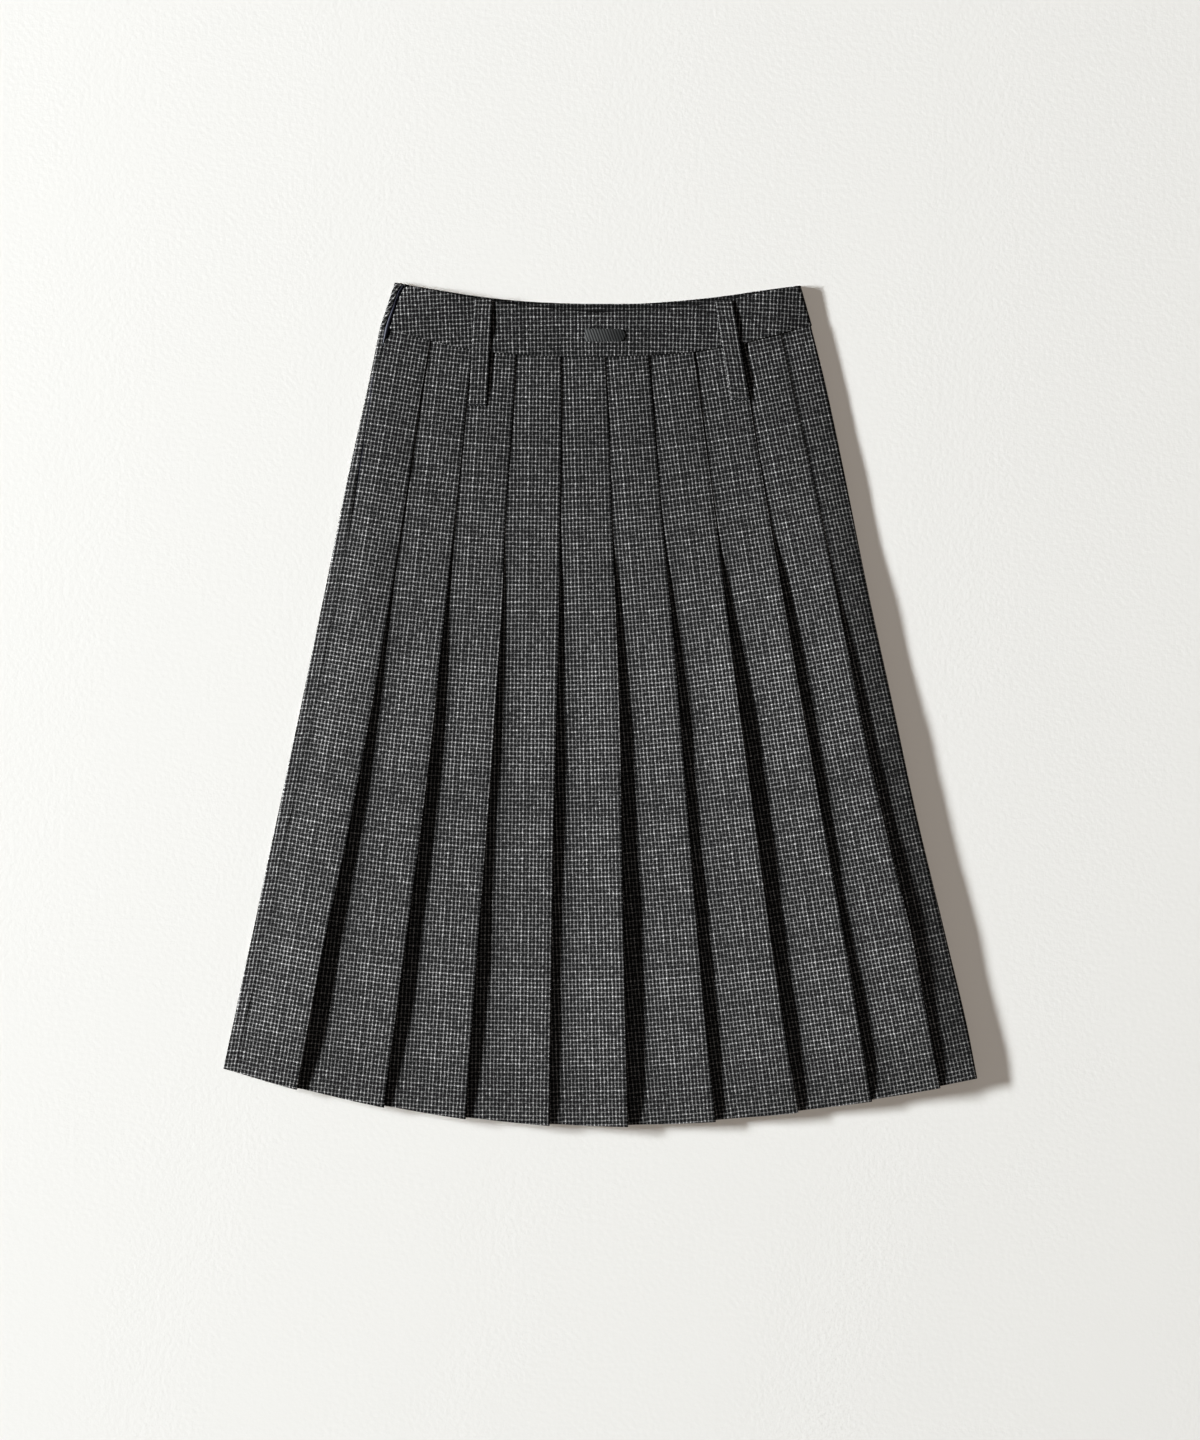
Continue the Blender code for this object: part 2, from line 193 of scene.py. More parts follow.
def new_group(name, inputs, outputs):
    """A node group with named sockets; inputs is {name: (kind, default)}."""
    group = bpy.data.node_groups.new(name, "ShaderNodeTree")
    for socket_name, (kind, default) in inputs.items():
        socket = group.interface.new_socket(socket_name, in_out="INPUT", socket_type="NodeSocket" + kind)
        if default is not None:
            socket.default_value = default
    for socket_name in outputs:
        group.interface.new_socket(socket_name, in_out="OUTPUT", socket_type="NodeSocketFloat")
    start = group.nodes.new("NodeGroupInput")
    stop = group.nodes.new("NodeGroupOutput")
    return group, start.outputs, stop.inputs


def use_group(tree, group, inputs):
    made = tree.nodes.new("ShaderNodeGroup")
    made.node_tree = group
    for name, value in inputs.items():
        feed(tree, made.inputs[name], value)
    return made.outputs


def new_material(name, values):
    """A material, with these values set on its Principled shader's own sockets."""
    made = bpy.data.materials.new(name)
    made.use_nodes = True
    surface = made.node_tree.nodes["Principled BSDF"]
    for socket_name, value in values.items():
        surface.inputs[socket_name].default_value = value
    return made, made.node_tree, surface


def cloth_chart(tree):
    return node(tree, "ShaderNodeUVMap", uv_map=CHART).outputs["UV"]


def painted(tree, attribute):
    return node(tree, "ShaderNodeAttribute", attribute_name=attribute).outputs["Fac"]


def relief(tree, surface, height, strength, distance):
    raised = node(tree, "ShaderNodeBump", {"Strength": strength, "Distance": distance, "Height": height})
    feed(tree, surface.inputs["Normal"], raised.outputs["Normal"])


print("node helpers ready")

# %% [markdown]
# ## The woven check
# The cloth has a light thread line every three millimetres across and a little more down, every second
# one brighter. Where two light lines cross there is a pale dot, and between four crossings a black square
# is left. The pattern must follow the cloth into the pleats, so it is worked out from each piece's own UV
# map, which holds millimetres of flat cloth. Real yarn is uneven: each line has its own brightness, it
# fades and thickens along its length, and it wanders a little.


# %% Woven check group
ACROSS_REPEAT, DOWN_REPEAT = 0.0062, 0.0073    # from one bright line to the next, in metres
YARN_ACROSS, YARN_DOWN = 0.00052, 0.00061      # one thread's pitch
FAINT_WARP, FAINT_WEFT = 0.66, 0.7             # how bright every second line is beside its neighbours
TREMBLE = 0.0011                               # how far a line strays from millimetre to millimetre
LINE_FADE, DOT_FADE = (1.5, 0.35), (2.0, 0.6)  # from gone to full, in widths of the line off its middle
NOISE_MIDDLE = (0.3, 0.7)                      # most values of a noise lie between these
# darkest and brightest of: each line, its streaks, its stretches, the dots, the fibres, the whole cloth's clouds
LINES, STREAKS, STRETCHES = (0.68, 1.3), (0.55, 1.45), (0.35, 1.65)
DOTS, FIBRES, CLOUDS = (0.05, 0.82), (0.15, 1.85), (0.87, 1.13)
WARP_SHOWS, WEFT_SHOWS = (0.12, 0.29), (-0.07, 0.155)   # change of a line's brightness over one thread, and mean


def check_lines(tree, across, along, half_repeat, along_repeat, faint, seed, width):
    """Light lines at every half repeat of one direction: their mask, the wider mask of the dots on them, and
    each line's number. A line is uneven along its length, and every stretch between two crossings has its own
    brightness."""
    cells = sums(tree, "DIVIDE", across, half_repeat)
    line = sums(tree, "ROUND", cells)
    off = sums(tree, "ABSOLUTE", sums(tree, "SUBTRACT", cells, line))
    profile, broad = (ramp(tree, off, times(tree, width, gone), times(tree, width, full), style="SMOOTHSTEP")
                      for gone, full in (LINE_FADE, DOT_FADE))
    parity = scaled(tree, sums(tree, "COSINE", times(tree, line, math.pi)), (1 - faint) / 2, (1 + faint) / 2)
    own = chance(tree, {"W": sums(tree, "ADD", line, seed)}, "1D")
    streak = noise(tree, place(tree, times(tree, line, 3.73), times(tree, along, 330.0), seed), 1.0, 2.0, 0.6)
    stretch = sums(tree, "FLOOR", sums(tree, "DIVIDE", along, along_repeat))
    between = chance(tree, {"Vector": place(tree, line, stretch, seed)})
    strength = times(tree, parity, ramp(tree, own, 0.0, 1.0, *LINES))
    uneven = times(tree, ramp(tree, streak, *NOISE_MIDDLE, *STREAKS), ramp(tree, between, 0.0, 1.0, *STRETCHES))
    turns = sums(tree, "DIVIDE", times(tree, along, 4 * math.pi), along_repeat)
    beads = scaled(tree, sums(tree, "COSINE", turns), 0.3, 0.7)
    return times(tree, profile, strength, uneven, beads), times(tree, broad, strength), line


weave, given, result = new_group(
    "woven_check",
    {"Chart": ("Vector", None), "Across Repeat": ("Float", ACROSS_REPEAT), "Down Repeat": ("Float", DOWN_REPEAT),
     "Line Width": ("Float", 0.13), "Wander": ("Float", 0.0008), "Pressed": ("Float", 0.0)},
    ["Light", "Height", "Tone"])
flat = node(weave, "ShaderNodeSeparateXYZ", {"Vector": given["Chart"]}).outputs
drift, shake = (
    node(weave, "ShaderNodeSeparateColor",
         {"Color": noise(weave, given["Chart"], scale, 1.0, output="Color")}).outputs for scale in (70.0, 430.0))
shifted = [
    sums(weave, "MULTIPLY_ADD", sums(weave, "SUBTRACT", drift[axis], 0.5), given["Wander"],
         scaled(weave, sums(weave, "SUBTRACT", shake[axis], 0.5), TREMBLE, flat[axis])) for axis in range(2)]
half_across = times(weave, given["Across Repeat"], 0.5)
half_down = times(weave, given["Down Repeat"], 0.5)
warp, warp_dots, warp_line = check_lines(weave, shifted[0], shifted[1], half_across, half_down, FAINT_WARP, 11.0,
                                         given["Line Width"])
weft, weft_dots, weft_line = check_lines(weave, shifted[1], shifted[0], half_down, half_across, FAINT_WEFT, 47.0,
                                         given["Line Width"])
over = times(weave, *(sums(weave, "SINE", times(weave, shifted[axis], math.pi / pitch))
                      for axis, pitch in enumerate((YARN_ACROSS, YARN_DOWN))))
warp_shows = times(weave, warp, scaled(weave, over, *WARP_SHOWS))
weft_shows = times(weave, weft, scaled(weave, over, *WEFT_SHOWS))
dot = chance(weave, {"Vector": place(weave, warp_line, weft_line)}, "2D")
crossing = times(weave, warp_dots, weft_dots, ramp(weave, dot, 0.0, 1.0, *DOTS))
fibre = noise(weave, given["Chart"], 1250.0, 1.0)
light = times(weave, sums(weave, "ADD", sums(weave, "ADD", warp_shows, weft_shows), crossing),
              ramp(weave, fibre, *NOISE_MIDDLE, *FIBRES))
bare = sums(weave, "ADD", light, ramp(weave, fibre, 0.45, 0.75, 0.0, 0.02))
# raised fibres veil the pattern: its darks open and its lights close, less so where the cloth is pressed flat
veil = scaled(weave, given["Pressed"], 0.10, 0.83)
gain = scaled(weave, given["Pressed"], 0.14, 0.76)
feed(weave, result["Light"], times(weave, sums(weave, "POWER", bare, veil), gain))
feed(weave, result["Height"], sums(weave, "ADD", scaled(weave, over, 0.18, 0.5),
                                   times(weave, sums(weave, "ADD", warp, weft), 0.35)))
feed(weave, result["Tone"], ramp(weave, noise(weave, given["Chart"], 20.0, 3.0), *NOISE_MIDDLE, *CLOUDS))
print("woven check repeats in mm:", ACROSS_REPEAT / MM, "across,", DOWN_REPEAT / MM, "down")

# %% [markdown]
# ## Cloth, tape and tab materials
# Wool is matt with a soft bloom at the edges, so its roughness is high and it gets a little sheen. The
# zip's tape is a blue-black satin with fine ribs. The tab is a dark grey twill, whose thin diagonal lines
# are drawn the same way as the check: from its own chart.


# %% Checked wool
def blend_colours(tree, share, dark, pale):
    mixed = node(tree, "ShaderNodeMix", data_type="RGBA")
    feed(tree, mixed.inputs["Factor"], share)
    first, second = (socket for socket in mixed.inputs if socket.type == "RGBA")
    first.default_value, second.default_value = dark, pale
    return next(socket for socket in mixed.outputs if socket.type == "RGBA")


DARK_YARN = (0.0042, 0.0041, 0.0043, 1.0)
PALE_YARN = (0.9, 0.855, 0.835, 1.0)
wool, tree, surface = new_material("checked_wool", {
    "Roughness": 0.92, "Specular IOR Level": 0.045, "Sheen Weight": 0.01, "Sheen Roughness": 0.5})
pressed = painted(tree, NAP_AND_SHADE)
woven = use_group(tree, weave, {"Chart": cloth_chart(tree), "Pressed": pressed})
# painted shade: the inner side's attribute darkens the cloth, down to nearly black in the gap
tone_and_shade = times(tree, woven["Tone"], ramp(tree, painted(tree, PAINTED_INNER_SHADE), 0.0, 1.0, 1.0, 0.02),
             # painted shade: the cloth is darkened where the pressed attribute is high
             scaled(tree, pressed, -0.14, 1.0))
feed(tree, surface.inputs["Base Color"], blend_colours(tree, times(tree, woven["Light"], tone_and_shade), DARK_YARN, PALE_YARN))
relief(tree, surface, woven["Height"], 0.55, 0.00022)
print("made", wool.name)

# %% Ribs group
ribs, given, result = new_group(
    "ribs", {"Chart": ("Vector", None), "Across": ("Float", 0.0), "Down": ("Float", 1.0),
             "Pitch": ("Float", 0.0007), "Darkest": ("Float", -0.6), "Palest": ("Float", 2.2)},
    ["Light", "Height"])
flat = node(ribs, "ShaderNodeSeparateXYZ", {"Vector": given["Chart"]}).outputs
run = sums(ribs, "ADD", times(ribs, flat[0], given["Across"]), times(ribs, flat[1], given["Down"]))
wave = sums(ribs, "SINE", sums(ribs, "DIVIDE", times(ribs, run, 2 * math.pi), given["Pitch"]))
grain = noise(ribs, given["Chart"], 900.0)
feed(ribs, result["Light"], ramp(ribs, scaled(ribs, grain, 1.6, wave), given["Darkest"], given["Palest"]))
feed(ribs, result["Height"], sums(ribs, "ADD", wave, grain))
print("ribs group takes:", [socket.name for socket in given if socket.name])


# %% Satin tape and twill tab
def ribbed_cloth(name, dark, pale, direction, pitch, span, bump, values):
    """A plain cloth with fine ribs; direction is (across, down) of the ribs' normal on the chart, and span is
    the part of their wave that runs from dark to pale."""
    made, tree, surface = new_material(name, values)
    ribbed = use_group(tree, ribs, {"Chart": cloth_chart(tree), "Across": direction[0], "Down": direction[1],
                                    "Pitch": pitch, "Darkest": span[0], "Palest": span[1]})
    # painted shade: where the pressed attribute is high the ribs are darkened, on the tab towards its right end
    unshaded_share = scaled(tree, painted(tree, NAP_AND_SHADE), -0.75, 1.0)
    feed(tree, surface.inputs["Base Color"], blend_colours(tree, times(tree, ribbed["Light"], unshaded_share), dark, pale))
    relief(tree, surface, ribbed["Height"], bump, 0.0001)
    return made


satin = ribbed_cloth("zip_satin", (0.024, 0.024, 0.042, 1.0), (0.068, 0.068, 0.095, 1.0), (0.0, 1.0), 0.0007,
                     (-0.6, 2.2), 0.25, {"Roughness": 0.38, "Specular IOR Level": 0.35})
twill = ribbed_cloth("tab_twill", (0.004, 0.004, 0.004, 1.0), (0.12, 0.118, 0.115, 1.0), (0.94, 0.34), 0.0023,
                     (-0.1, 2.1), 0.6, {"Roughness": 0.8, "Specular IOR Level": 0.35, "Sheen Weight": 0.03})
print("made", satin.name, twill.name)

# %% [markdown]
# ## The measures of the skirt
# The skirt is drawn as a fan of pleats between the waist seam and the hem. A point's *share* is how far it
# lies down the length, 0 at the seam and 1 at the hem, and *across* runs from -1 at the left edge to 1 at
# the right. Short tables hold what a tailor would measure, and one smooth curve is drawn through each.


# %% Tables and curves
def curve(at, values, x):
    """Smooth line through a short table, held straight beyond its ends."""
    count = len(at)
    spot = 0
    while spot < count - 2 and x > at[spot + 1]:
        spot += 1

    def slope(i):
        low, high = max(i - 1, 0), min(i + 1, count - 1)
        return (values[high] - values[low]) / (at[high] - at[low])

    span = at[spot + 1] - at[spot]
    t = (x - at[spot]) / span
    if t < 0.0:
        return values[spot] + slope(spot) * span * t
    if t > 1.0:
        return values[spot + 1] + slope(spot + 1) * span * (t - 1.0)
    a, b = values[spot], values[spot + 1]
    rise_a, rise_b = slope(spot) * span, slope(spot + 1) * span
    return (a * (2 * t ** 3 - 3 * t ** 2 + 1) + rise_a * (t ** 3 - 2 * t ** 2 + t)
            + b * (3 * t ** 2 - 2 * t ** 3) + rise_b * (t ** 3 - t ** 2))


def smooth(t):
    t = min(max(t, 0.0), 1.0)
    return t * t * (3.0 - 2.0 * t)


def mix(a, b, t):
    return a + (b - a) * t


# down the length, in mm: the outline, and how high the cloth stands where it rolls round each edge
OUTLINE = {
    "share":      (0.0,    0.08,   0.20,   0.35,   0.50,   0.65,   0.80,   0.92,   1.0),
    "left":       (-187.7, -198.2, -215.1, -234.5, -254.3, -274.5, -294.8, -311.2, -322.2),
    "right":      (180.3,  193.1,  209.4,  228.7,  249.7,  270.3,  293.5,  312.0,  322.2),
    "left_roll":  (6.7,    6.1,    5.2,    4.4,    4.1,    4.0,    3.9,    3.9,    3.9),
    "right_roll": (6.4,    6.3,    6.5,    7.8,    9.0,    9.9,    10.2,   10.1,   9.6),
}
# the side seam with the zip, as distances in from the left edge: the back's edge and the front's
ZIP_SEAM = {
    "share": (0.0, 0.012, 0.026, 0.066, 0.10, 0.25, 0.40, 1.0),
    "back":  (4.0, 4.3,   4.6,   3.0,   4.2,  10.0, 10.6, 9.6),
    "front": (8.2, 7.5,   5.4,   3.3,   4.4,  10.1, 10.7, 9.7),
}
# across the width, in mm up the page: waist seam, hem, and the top edges of the two waistbands
EDGES = {
    "across":    (-1.0,   -0.8,   -0.6,   -0.4,   -0.2,   0.0,    0.2,    0.4,    0.6,    0.8,    1.0),
    "seam":      (322.8,  311.7,  303.4,  298.9,  296.6,  296.3,  297.2,  299.6,  304.8,  313.2,  323.3),
    "hem":       (-311.7, -328.6, -342.0, -351.8, -357.9, -360.2, -358.4, -352.8, -344.6, -333.6, -319.4),
    "back_top":  (360.2,  354.5,  348.9,  345.0,  342.9,  342.3,  342.5,  344.8,  348.4,  353.4,  358.1),
    "front_top": (358.6,  352.9,  346.4,  340.9,  336.9,  334.3,  336.0,  338.2,  343.0,  350.9,  357.2),
}
# the nine front folds, counted from the left: where each raised edge lies, down the length
FOLD_SHARES = (0.0, 0.08, 0.2, 0.35, 0.5, 0.65, 0.8, 1.0)
FOLD_EDGES = (
    (-145.4, -153.7, -165.1, -180.1, -196.5, -214.3, -234.9, -259.5),
    (-109.2, -114.7, -122.4, -132.9, -143.0, -154.6, -167.5, -185.2),
    (-72.2,  -74.8,  -80.5,  -84.8,  -91.2,  -98.5,  -105.8, -115.7),
    (-33.7,  -33.2,  -34.3,  -35.5,  -37.9,  -40.6,  -42.3,  -44.0),
    (3.8,    6.9,    9.7,    13.7,   16.8,   18.4,   20.1,   22.9),
    (41.2,   45.7,   52.0,   61.4,   69.4,   77.3,   85.1,   97.8),
    (79.9,   86.7,   97.0,   108.7,  120.9,  134.5,  147.9,  168.3),
    (121.8,  128.2,  141.1,  157.4,  174.1,  191.9,  209.6,  231.1),
    (154.3,  165.6,  182.8,  201.9,  220.6,  241.6,  264.9,  289.2),
)
# and how far it stands above the panel beside it
LIFT_SHARES = (0.0, 0.24, 0.316, 0.447, 0.603, 0.76, 0.915, 1.0)
FOLD_LIFTS = (
    (0.77, 0.75, 1.0, 5.0, 6.8, 7.8, 8.7, 6.0),
    (0.52, 0.70, 1.7, 6.0, 7.1, 7.6, 7.3, 5.3),
    (0.65, 0.55, 1.9, 5.1, 5.9, 6.9, 6.9, 5.4),
    (0.69, 0.80, 2.3, 5.1, 6.7, 6.3, 6.4, 5.5),
    (0.64, 0.60, 2.6, 6.2, 7.8, 9.3, 8.6, 6.8),
    (0.80, 0.55, 2.2, 6.4, 6.9, 7.7, 7.2, 5.9),
    (0.80, 0.70, 3.1, 7.9, 8.7, 8.0, 7.6, 5.5),
    (0.85, 0.95, 3.9, 6.5, 6.6, 5.8, 6.8, 4.2),
    (0.42, 0.42, 0.9, 2.2, 2.2, 2.5, 1.8, 2.2),
)
# towards the right edge the skirt billows: how far each panel starts above the lowest ones, down the length
PANEL_RAISES = {
    5: (0.0, 0.1, 0.1, 0.2, 0.2,  0.3,  0.3,  0.0),
    6: (0.0, 0.3, 0.4, 0.6, 0.8,  0.9,  1.0,  0.2),
    7: (0.0, 0.5, 0.8, 1.3, 1.7,  1.9,  1.9,  0.5),
    8: (0.0, 1.4, 2.2, 3.2, 4.1,  4.7,  4.7,  2.2),
    9: (0.2, 3.1, 4.8, 7.1, 9.0, 10.2, 10.2,  5.8),
}
PLEATS = len(FOLD_EDGES)
# how the cloth lies down the length: lowest middle, spacing of pressed layers, and thickness; the hem
# is turned up, so its last four centimetres are thicker
LAYERS = {
    "share": (0.0,  0.22, 0.40, 0.60, 0.925, 0.945, 1.0),
    "base":  (6.1,  6.0,  5.3,  4.8,  4.6,   4.6,   4.3),
    "ply":   (0.42, 0.42, 0.70, 0.80, 0.80,  1.15,  1.15),
    "wall":  (0.35, 0.35, 0.50, 0.60, 0.60,  0.95,  0.95),
    "rise":  (0.84, 0.84, 1.40, 1.60, 1.60,  1.60,  1.60),   # a panel over the two layers tucked under it
}


def outline(column, share):
    return curve(OUTLINE["share"], OUTLINE[column], share)


def zip_seam(column, share):
    return curve(ZIP_SEAM["share"], ZIP_SEAM[column], share)


def edge(column, across):
    return curve(EDGES["across"], EDGES[column], min(max(across, -1.0), 1.0))


def layers(column, share, table=LAYERS):
    return float(np.interp(share, table["share"], table[column]))


def freed(share):
    """0 where the pleats are sewn down, 1 where they hang free."""
    return smooth((share - 0.26) / 0.2)


def fold_edge(fold, share):
    """Where a raised fold ends at the right, with the roundness that its layers add."""
    return curve(FOLD_SHARES, FOLD_EDGES[fold], share) + 0.75 * layers("ply", share) - 0.3


def panel_start(panel, share):
    """Height of a front panel's middle where it comes out from under the last fold."""
    raised = curve(LIFT_SHARES, PANEL_RAISES[panel], share) if panel in PANEL_RAISES else 0.0
    return layers("base", share) + raised


def pleat_depth(share):
    """How far a pleat tucks in behind its fold, in mm."""
    return mix(18.0, 30.0, share)


def page_height(x, share):
    """How far up the page a point at x lies, on the line at this share of the length."""
    left, right = outline("left", share), outline("right", share)
    across = 2 * (x - left) / (right - left) - 1
    return mix(edge("seam", across) - 0.05, edge("hem", across), share)


def turn(centre_x, centre_z, reach, height, start, stop, steps):
    """Points of a rounded fold; angles in degrees from the right, towards the viewer."""
    angles = np.radians(np.linspace(start, stop, steps + 1))
    return [(centre_x + reach * math.cos(a), centre_z + height * math.sin(a)) for a in angles]


EDGE_REACH = 1.5               # how far a turned edge is rounded sideways, in mm


def walked(points):
    """The distance walked along (x, z) points up to each of them."""
    return np.cumsum([0.0] + [math.dist(a, b) for a, b in zip(points, points[1:])]).tolist()


print("front folds:", PLEATS, " depth of a pleat in mm:", pleat_depth(0.0), "to", pleat_depth(1.0))

# %% [markdown]
# ## Soft creases
# Pressed wool that lies on a floor is never quite flat. A handful of long, shallow troughs and ridges are
# placed one by one, each with its own length, width and height, and a slow unevenness lies under them.

# %% Creases
CREASES = (
    # middle x, y, direction in degrees, length, width, height (mm)
    (-152.0, 205.0, -52.0, 115.0, 13.0, -1.5),
    (-128.0, 232.0, -60.0, 70.0,  9.0,  0.5),
    (-192.0, 120.0, 64.0,  60.0,  8.0,  0.6),
    (-203.0, 84.0,  72.0,  45.0,  7.0,  0.5),
    (50.0,   -58.0, 38.0,  60.0,  9.0,  -0.55),
    (155.0,  -34.0, 36.0,  55.0,  9.0,  -0.6),
    (-238.0, -120.0, 20.0, 80.0,  14.0, 0.4),
    (-262.0, -200.0, 12.0, 70.0,  13.0, -0.4),
    (-60.0,  -130.0, 8.0,  60.0,  14.0, 0.3),
    (5.0,    190.0, 85.0,  120.0, 10.0, 0.2),
    (120.0,  -190.0, 25.0, 90.0,  14.0, 0.35),
    (232.0,  -150.0, 15.0, 70.0,  12.0, 0.4),
)
UNEVEN = (
    # wavelength, direction in degrees, phase, height (mm)
    (58.0, 12.0, 0.4, 0.10), (83.0, 71.0, 2.1, 0.16), (41.0, -33.0, 4.4, 0.06), (127.0, -68.0, 1.2, 0.24),
    (29.0, 52.0, 3.3, 0.03),
)


def crease_height(x, y, creases):
    total = 0.0
    for wavelength, degrees, phase, rise in UNEVEN:
        a = math.radians(degrees)
        total += rise * math.sin(2 * math.pi * (x * math.cos(a) + y * math.sin(a)) / wavelength + phase)
    for mid_x, mid_y, degrees, length, width, rise in creases:
        a = math.radians(degrees)
        along = ((x - mid_x) * math.cos(a) + (y - mid_y) * math.sin(a)) / (length / 2)
        if abs(along) < 1.0:
            aside = (-(x - mid_x) * math.sin(a) + (y - mid_y) * math.cos(a)) / width
            total += rise * math.exp(-aside * aside) * math.cos(along * math.pi / 2) ** 2
    return total


print("creases placed by hand:", len(CREASES))

# %% [markdown]
# ## A sheet of cloth
# Every cloth piece starts as a flat grid, the uncut cloth. Each of its points is carried to its place in
# the folded garment, and the same step writes where the point lay on the flat cloth into the UV map. The
# Solidify modifier then gives the sheet its wall. Modelling each pleat by hand with extrusions would give
# the same folds, but a table can be corrected in one place.


# %% Sheet helper
def cloth_sheet(name, rows, finish, wall_mm, thickness=None, rim_mm=0.0):
    """rows is a list of rows of points (x, y, z, chart on its left side, chart on its right side), in mm.
    thickness gives each row's share of the wall."""
    down, wide = len(rows), len(rows[0])
    bpy.ops.object.select_all(action="DESELECT")
    bpy.ops.mesh.primitive_grid_add(x_subdivisions=wide - 1, y_subdivisions=down - 1, size=1.0)
    piece = bpy.context.object
    piece.name = piece.data.name = name
    mesh = piece.data
    assert len(mesh.vertices) == wide * down, (len(mesh.vertices), wide, down)
    points = np.array([[point[:3] for point in row] for row in rows]).reshape(-1, 3) * MM
    mesh.vertices.foreach_set("co", points.ravel())
    mesh.uv_layers.active.name = CHART
    # a fold belongs to two panels, so a point can have one place in the chart for the face at its left and
    # another for the face at its right
    corner_points = np.empty(len(mesh.loops), dtype=np.int64)
    mesh.loops.foreach_get("vertex_index", corner_points)
    corner_row, corner_column = corner_points // wide, corner_points % wide
    face_column = corner_column.reshape(-1, 4).min(axis=1).repeat(4)
    on_left, on_right = (np.array([[point[side] for point in row] for row in rows]) for side in (3, 4))
    starts_here = (corner_column == face_column)[:, None]
    charted = np.where(starts_here, on_right[corner_row, corner_column], on_left[corner_row, corner_column]) * MM
    mesh.uv_layers[CHART].data.foreach_set("uv", charted.ravel())
    mesh.update()
    solid = piece.modifiers.new("wall", "SOLIDIFY")
    solid.thickness = wall_mm * MM
    solid.offset = 0.0                    # half of the wall on either side of the sheet
    solid.use_even_offset = True
    solid.use_quality_normals = True
    if thickness:
        group = piece.vertex_groups.new(name="thickness")
        for row, share in enumerate(thickness):
            group.add(list(range(row * wide, (row + 1) * wide)), share, "REPLACE")
        solid.vertex_group = group.name
        solid.thickness_vertex_group = 0.0
    bpy.ops.object.modifier_apply(modifier=solid.name)
    if rim_mm:
        rim = piece.modifiers.new("rim", "BEVEL")
        rim.width = rim_mm * MM
        rim.segments = 3
        rim.limit_method = "ANGLE"
        rim.angle_limit = math.radians(60.0)
        bpy.ops.object.modifier_apply(modifier=rim.name)
    piece.vertex_groups.clear()
    mesh.materials.clear()
    mesh.materials.append(finish)
    bpy.ops.object.shade_smooth_by_angle(angle=math.radians(50.0))
    triangles = sum(len(face.vertices) - 2 for face in mesh.polygons)
    print(name, "grid", wide, "x", down, "->", triangles, "triangles")
    return piece


CHART_START = -1.9             # no light row of the check lies on the seam itself, in mm


def own_chart(line, which):
    """The chart of a panel whose threads follow a straight line, from line(which, share) at the waist seam to
    the same at the hem."""
    start, stop = (np.array((line(which, share), page_height(line(which, share), share))) for share in (0.0, 1.0))
    down = (stop - start) / np.linalg.norm(stop - start)
    right = np.array((-down[1], down[0]))

    def chart(x, y, run=0.0, shift=0.0):
        step = np.array((x, y)) - start
        return float(step @ right) + run + shift, CHART_START - float(step @ down)

    return chart


print("sheet helper ready")

# %% [markdown]
# ## Front panel with its knife pleats
# A knife pleat is three layers of cloth: the panel that shows, which ends in a raised fold at its right;
# the layer that returns under it; and the underlay, which comes out from under the fold as the next panel.
# Down to the hip the pleats are sewn flat. Below, each fold springs up by a few millimetres, the returning
# layer opens like a wedge, and the low light turns that into the dark bands that show from above.

# %% Front section
PANEL_POINTS = 13            # columns across a visible panel
PANEL_CROWDING = 0.85        # below 1, they lie closer together towards the fold
TURN_POINTS = 6              # straight runs in a fold
ROLL_POINTS = 12             # straight runs where the cloth rolls round an edge
RISE_POWER = 1.35            # how late a released panel rises to its fold
LEFT_POWER = 1.4             # how soon the first panel comes down from the left edge
WEDGE_POWER = 1.2            # how soon the layer under a fold comes down from it
SWELL, SWELL_WIDTH = 0.42, 18.0   # beside a free fold the next panel swells up, by this share of the fold's lift
CROWNS = (0.5, 0.2, 0.2, 0.3, 0.2, 0.2, 0.9, 0.3, 0.4)   # extra roundness of each panel at the hem (mm)
CHART_SHIFTS = (0.0, 2.1, 4.4, 1.3, 3.2, 5.6, 0.9, 2.8, 4.1, 1.9)
UNDER_RIGHT = 7.0            # the front runs on this far under the right edge to its seam
# how late the last panel bends down to the right edge, down the length
LAST_PANEL = {"share": (0.0, 0.2, 0.35, 0.5, 0.7, 1.0), "bend": (2.0, 1.8, 1.45, 1.05, 0.85, 0.85)}

front_charts = [own_chart(fold_edge, fold) for fold in range(PLEATS)] + [own_chart(outline, "right")]


def fold_lift(fold, share):
    return curve(LIFT_SHARES, FOLD_LIFTS[fold], share)


def panel_top(fold, share, x, low, high, inner):
    """Height of the visible panel's middle between the last fold (low) and its own (high)."""
    rise, start = layers("rise", share), panel_start(fold, share)
    fold_top = panel_start(fold + 1, share) + fold_lift(fold, share)
    t = min(max((x - low) / (high - low), 0.0), 1.0)
    climb = mix(smooth((x - low) / (inner - 2.0 - low)), 1.0, freed(share)) * rise
    crown = CROWNS[fold] * smooth((share - 0.35) / 0.4) * math.sin(math.pi * t)
    z = start + climb + (fold_top - start - rise) * t ** RISE_POWER + crown
    if fold == 0:
        edge_rise = outline("left_roll", share) - start - freed(share) * rise
        z += edge_rise * max(1 - (x - low) / (inner - low), 0.0) ** LEFT_POWER
    else:
        z += SWELL * fold_lift(fold - 1, share) * freed(share) * max(1 - (x - low) / SWELL_WIDTH, 0.0) ** 2
    return z


def emerging(panel, share):
    """Height at which a panel comes out from under the last fold."""
    if panel == PLEATS:
        return panel_start(panel, share)
    low, high = fold_edge(panel - 1, share), fold_edge(panel, share)
    return panel_top(panel, share, low, low, high, high - pleat_depth(share))


def underlay_start(fold, share, low, high, inner):
    """Height of the inner crease under a panel, from which the next panel comes out."""
    start, after = panel_start(fold, share), panel_start(fold + 1, share)
    below = panel_top(fold, share, inner, low, high, inner) - 2 * layers("ply", share) - 0.05
    return max(min(mix(start, after, (inner - low) / (high - low)), below), layers("base", share) - 0.3)


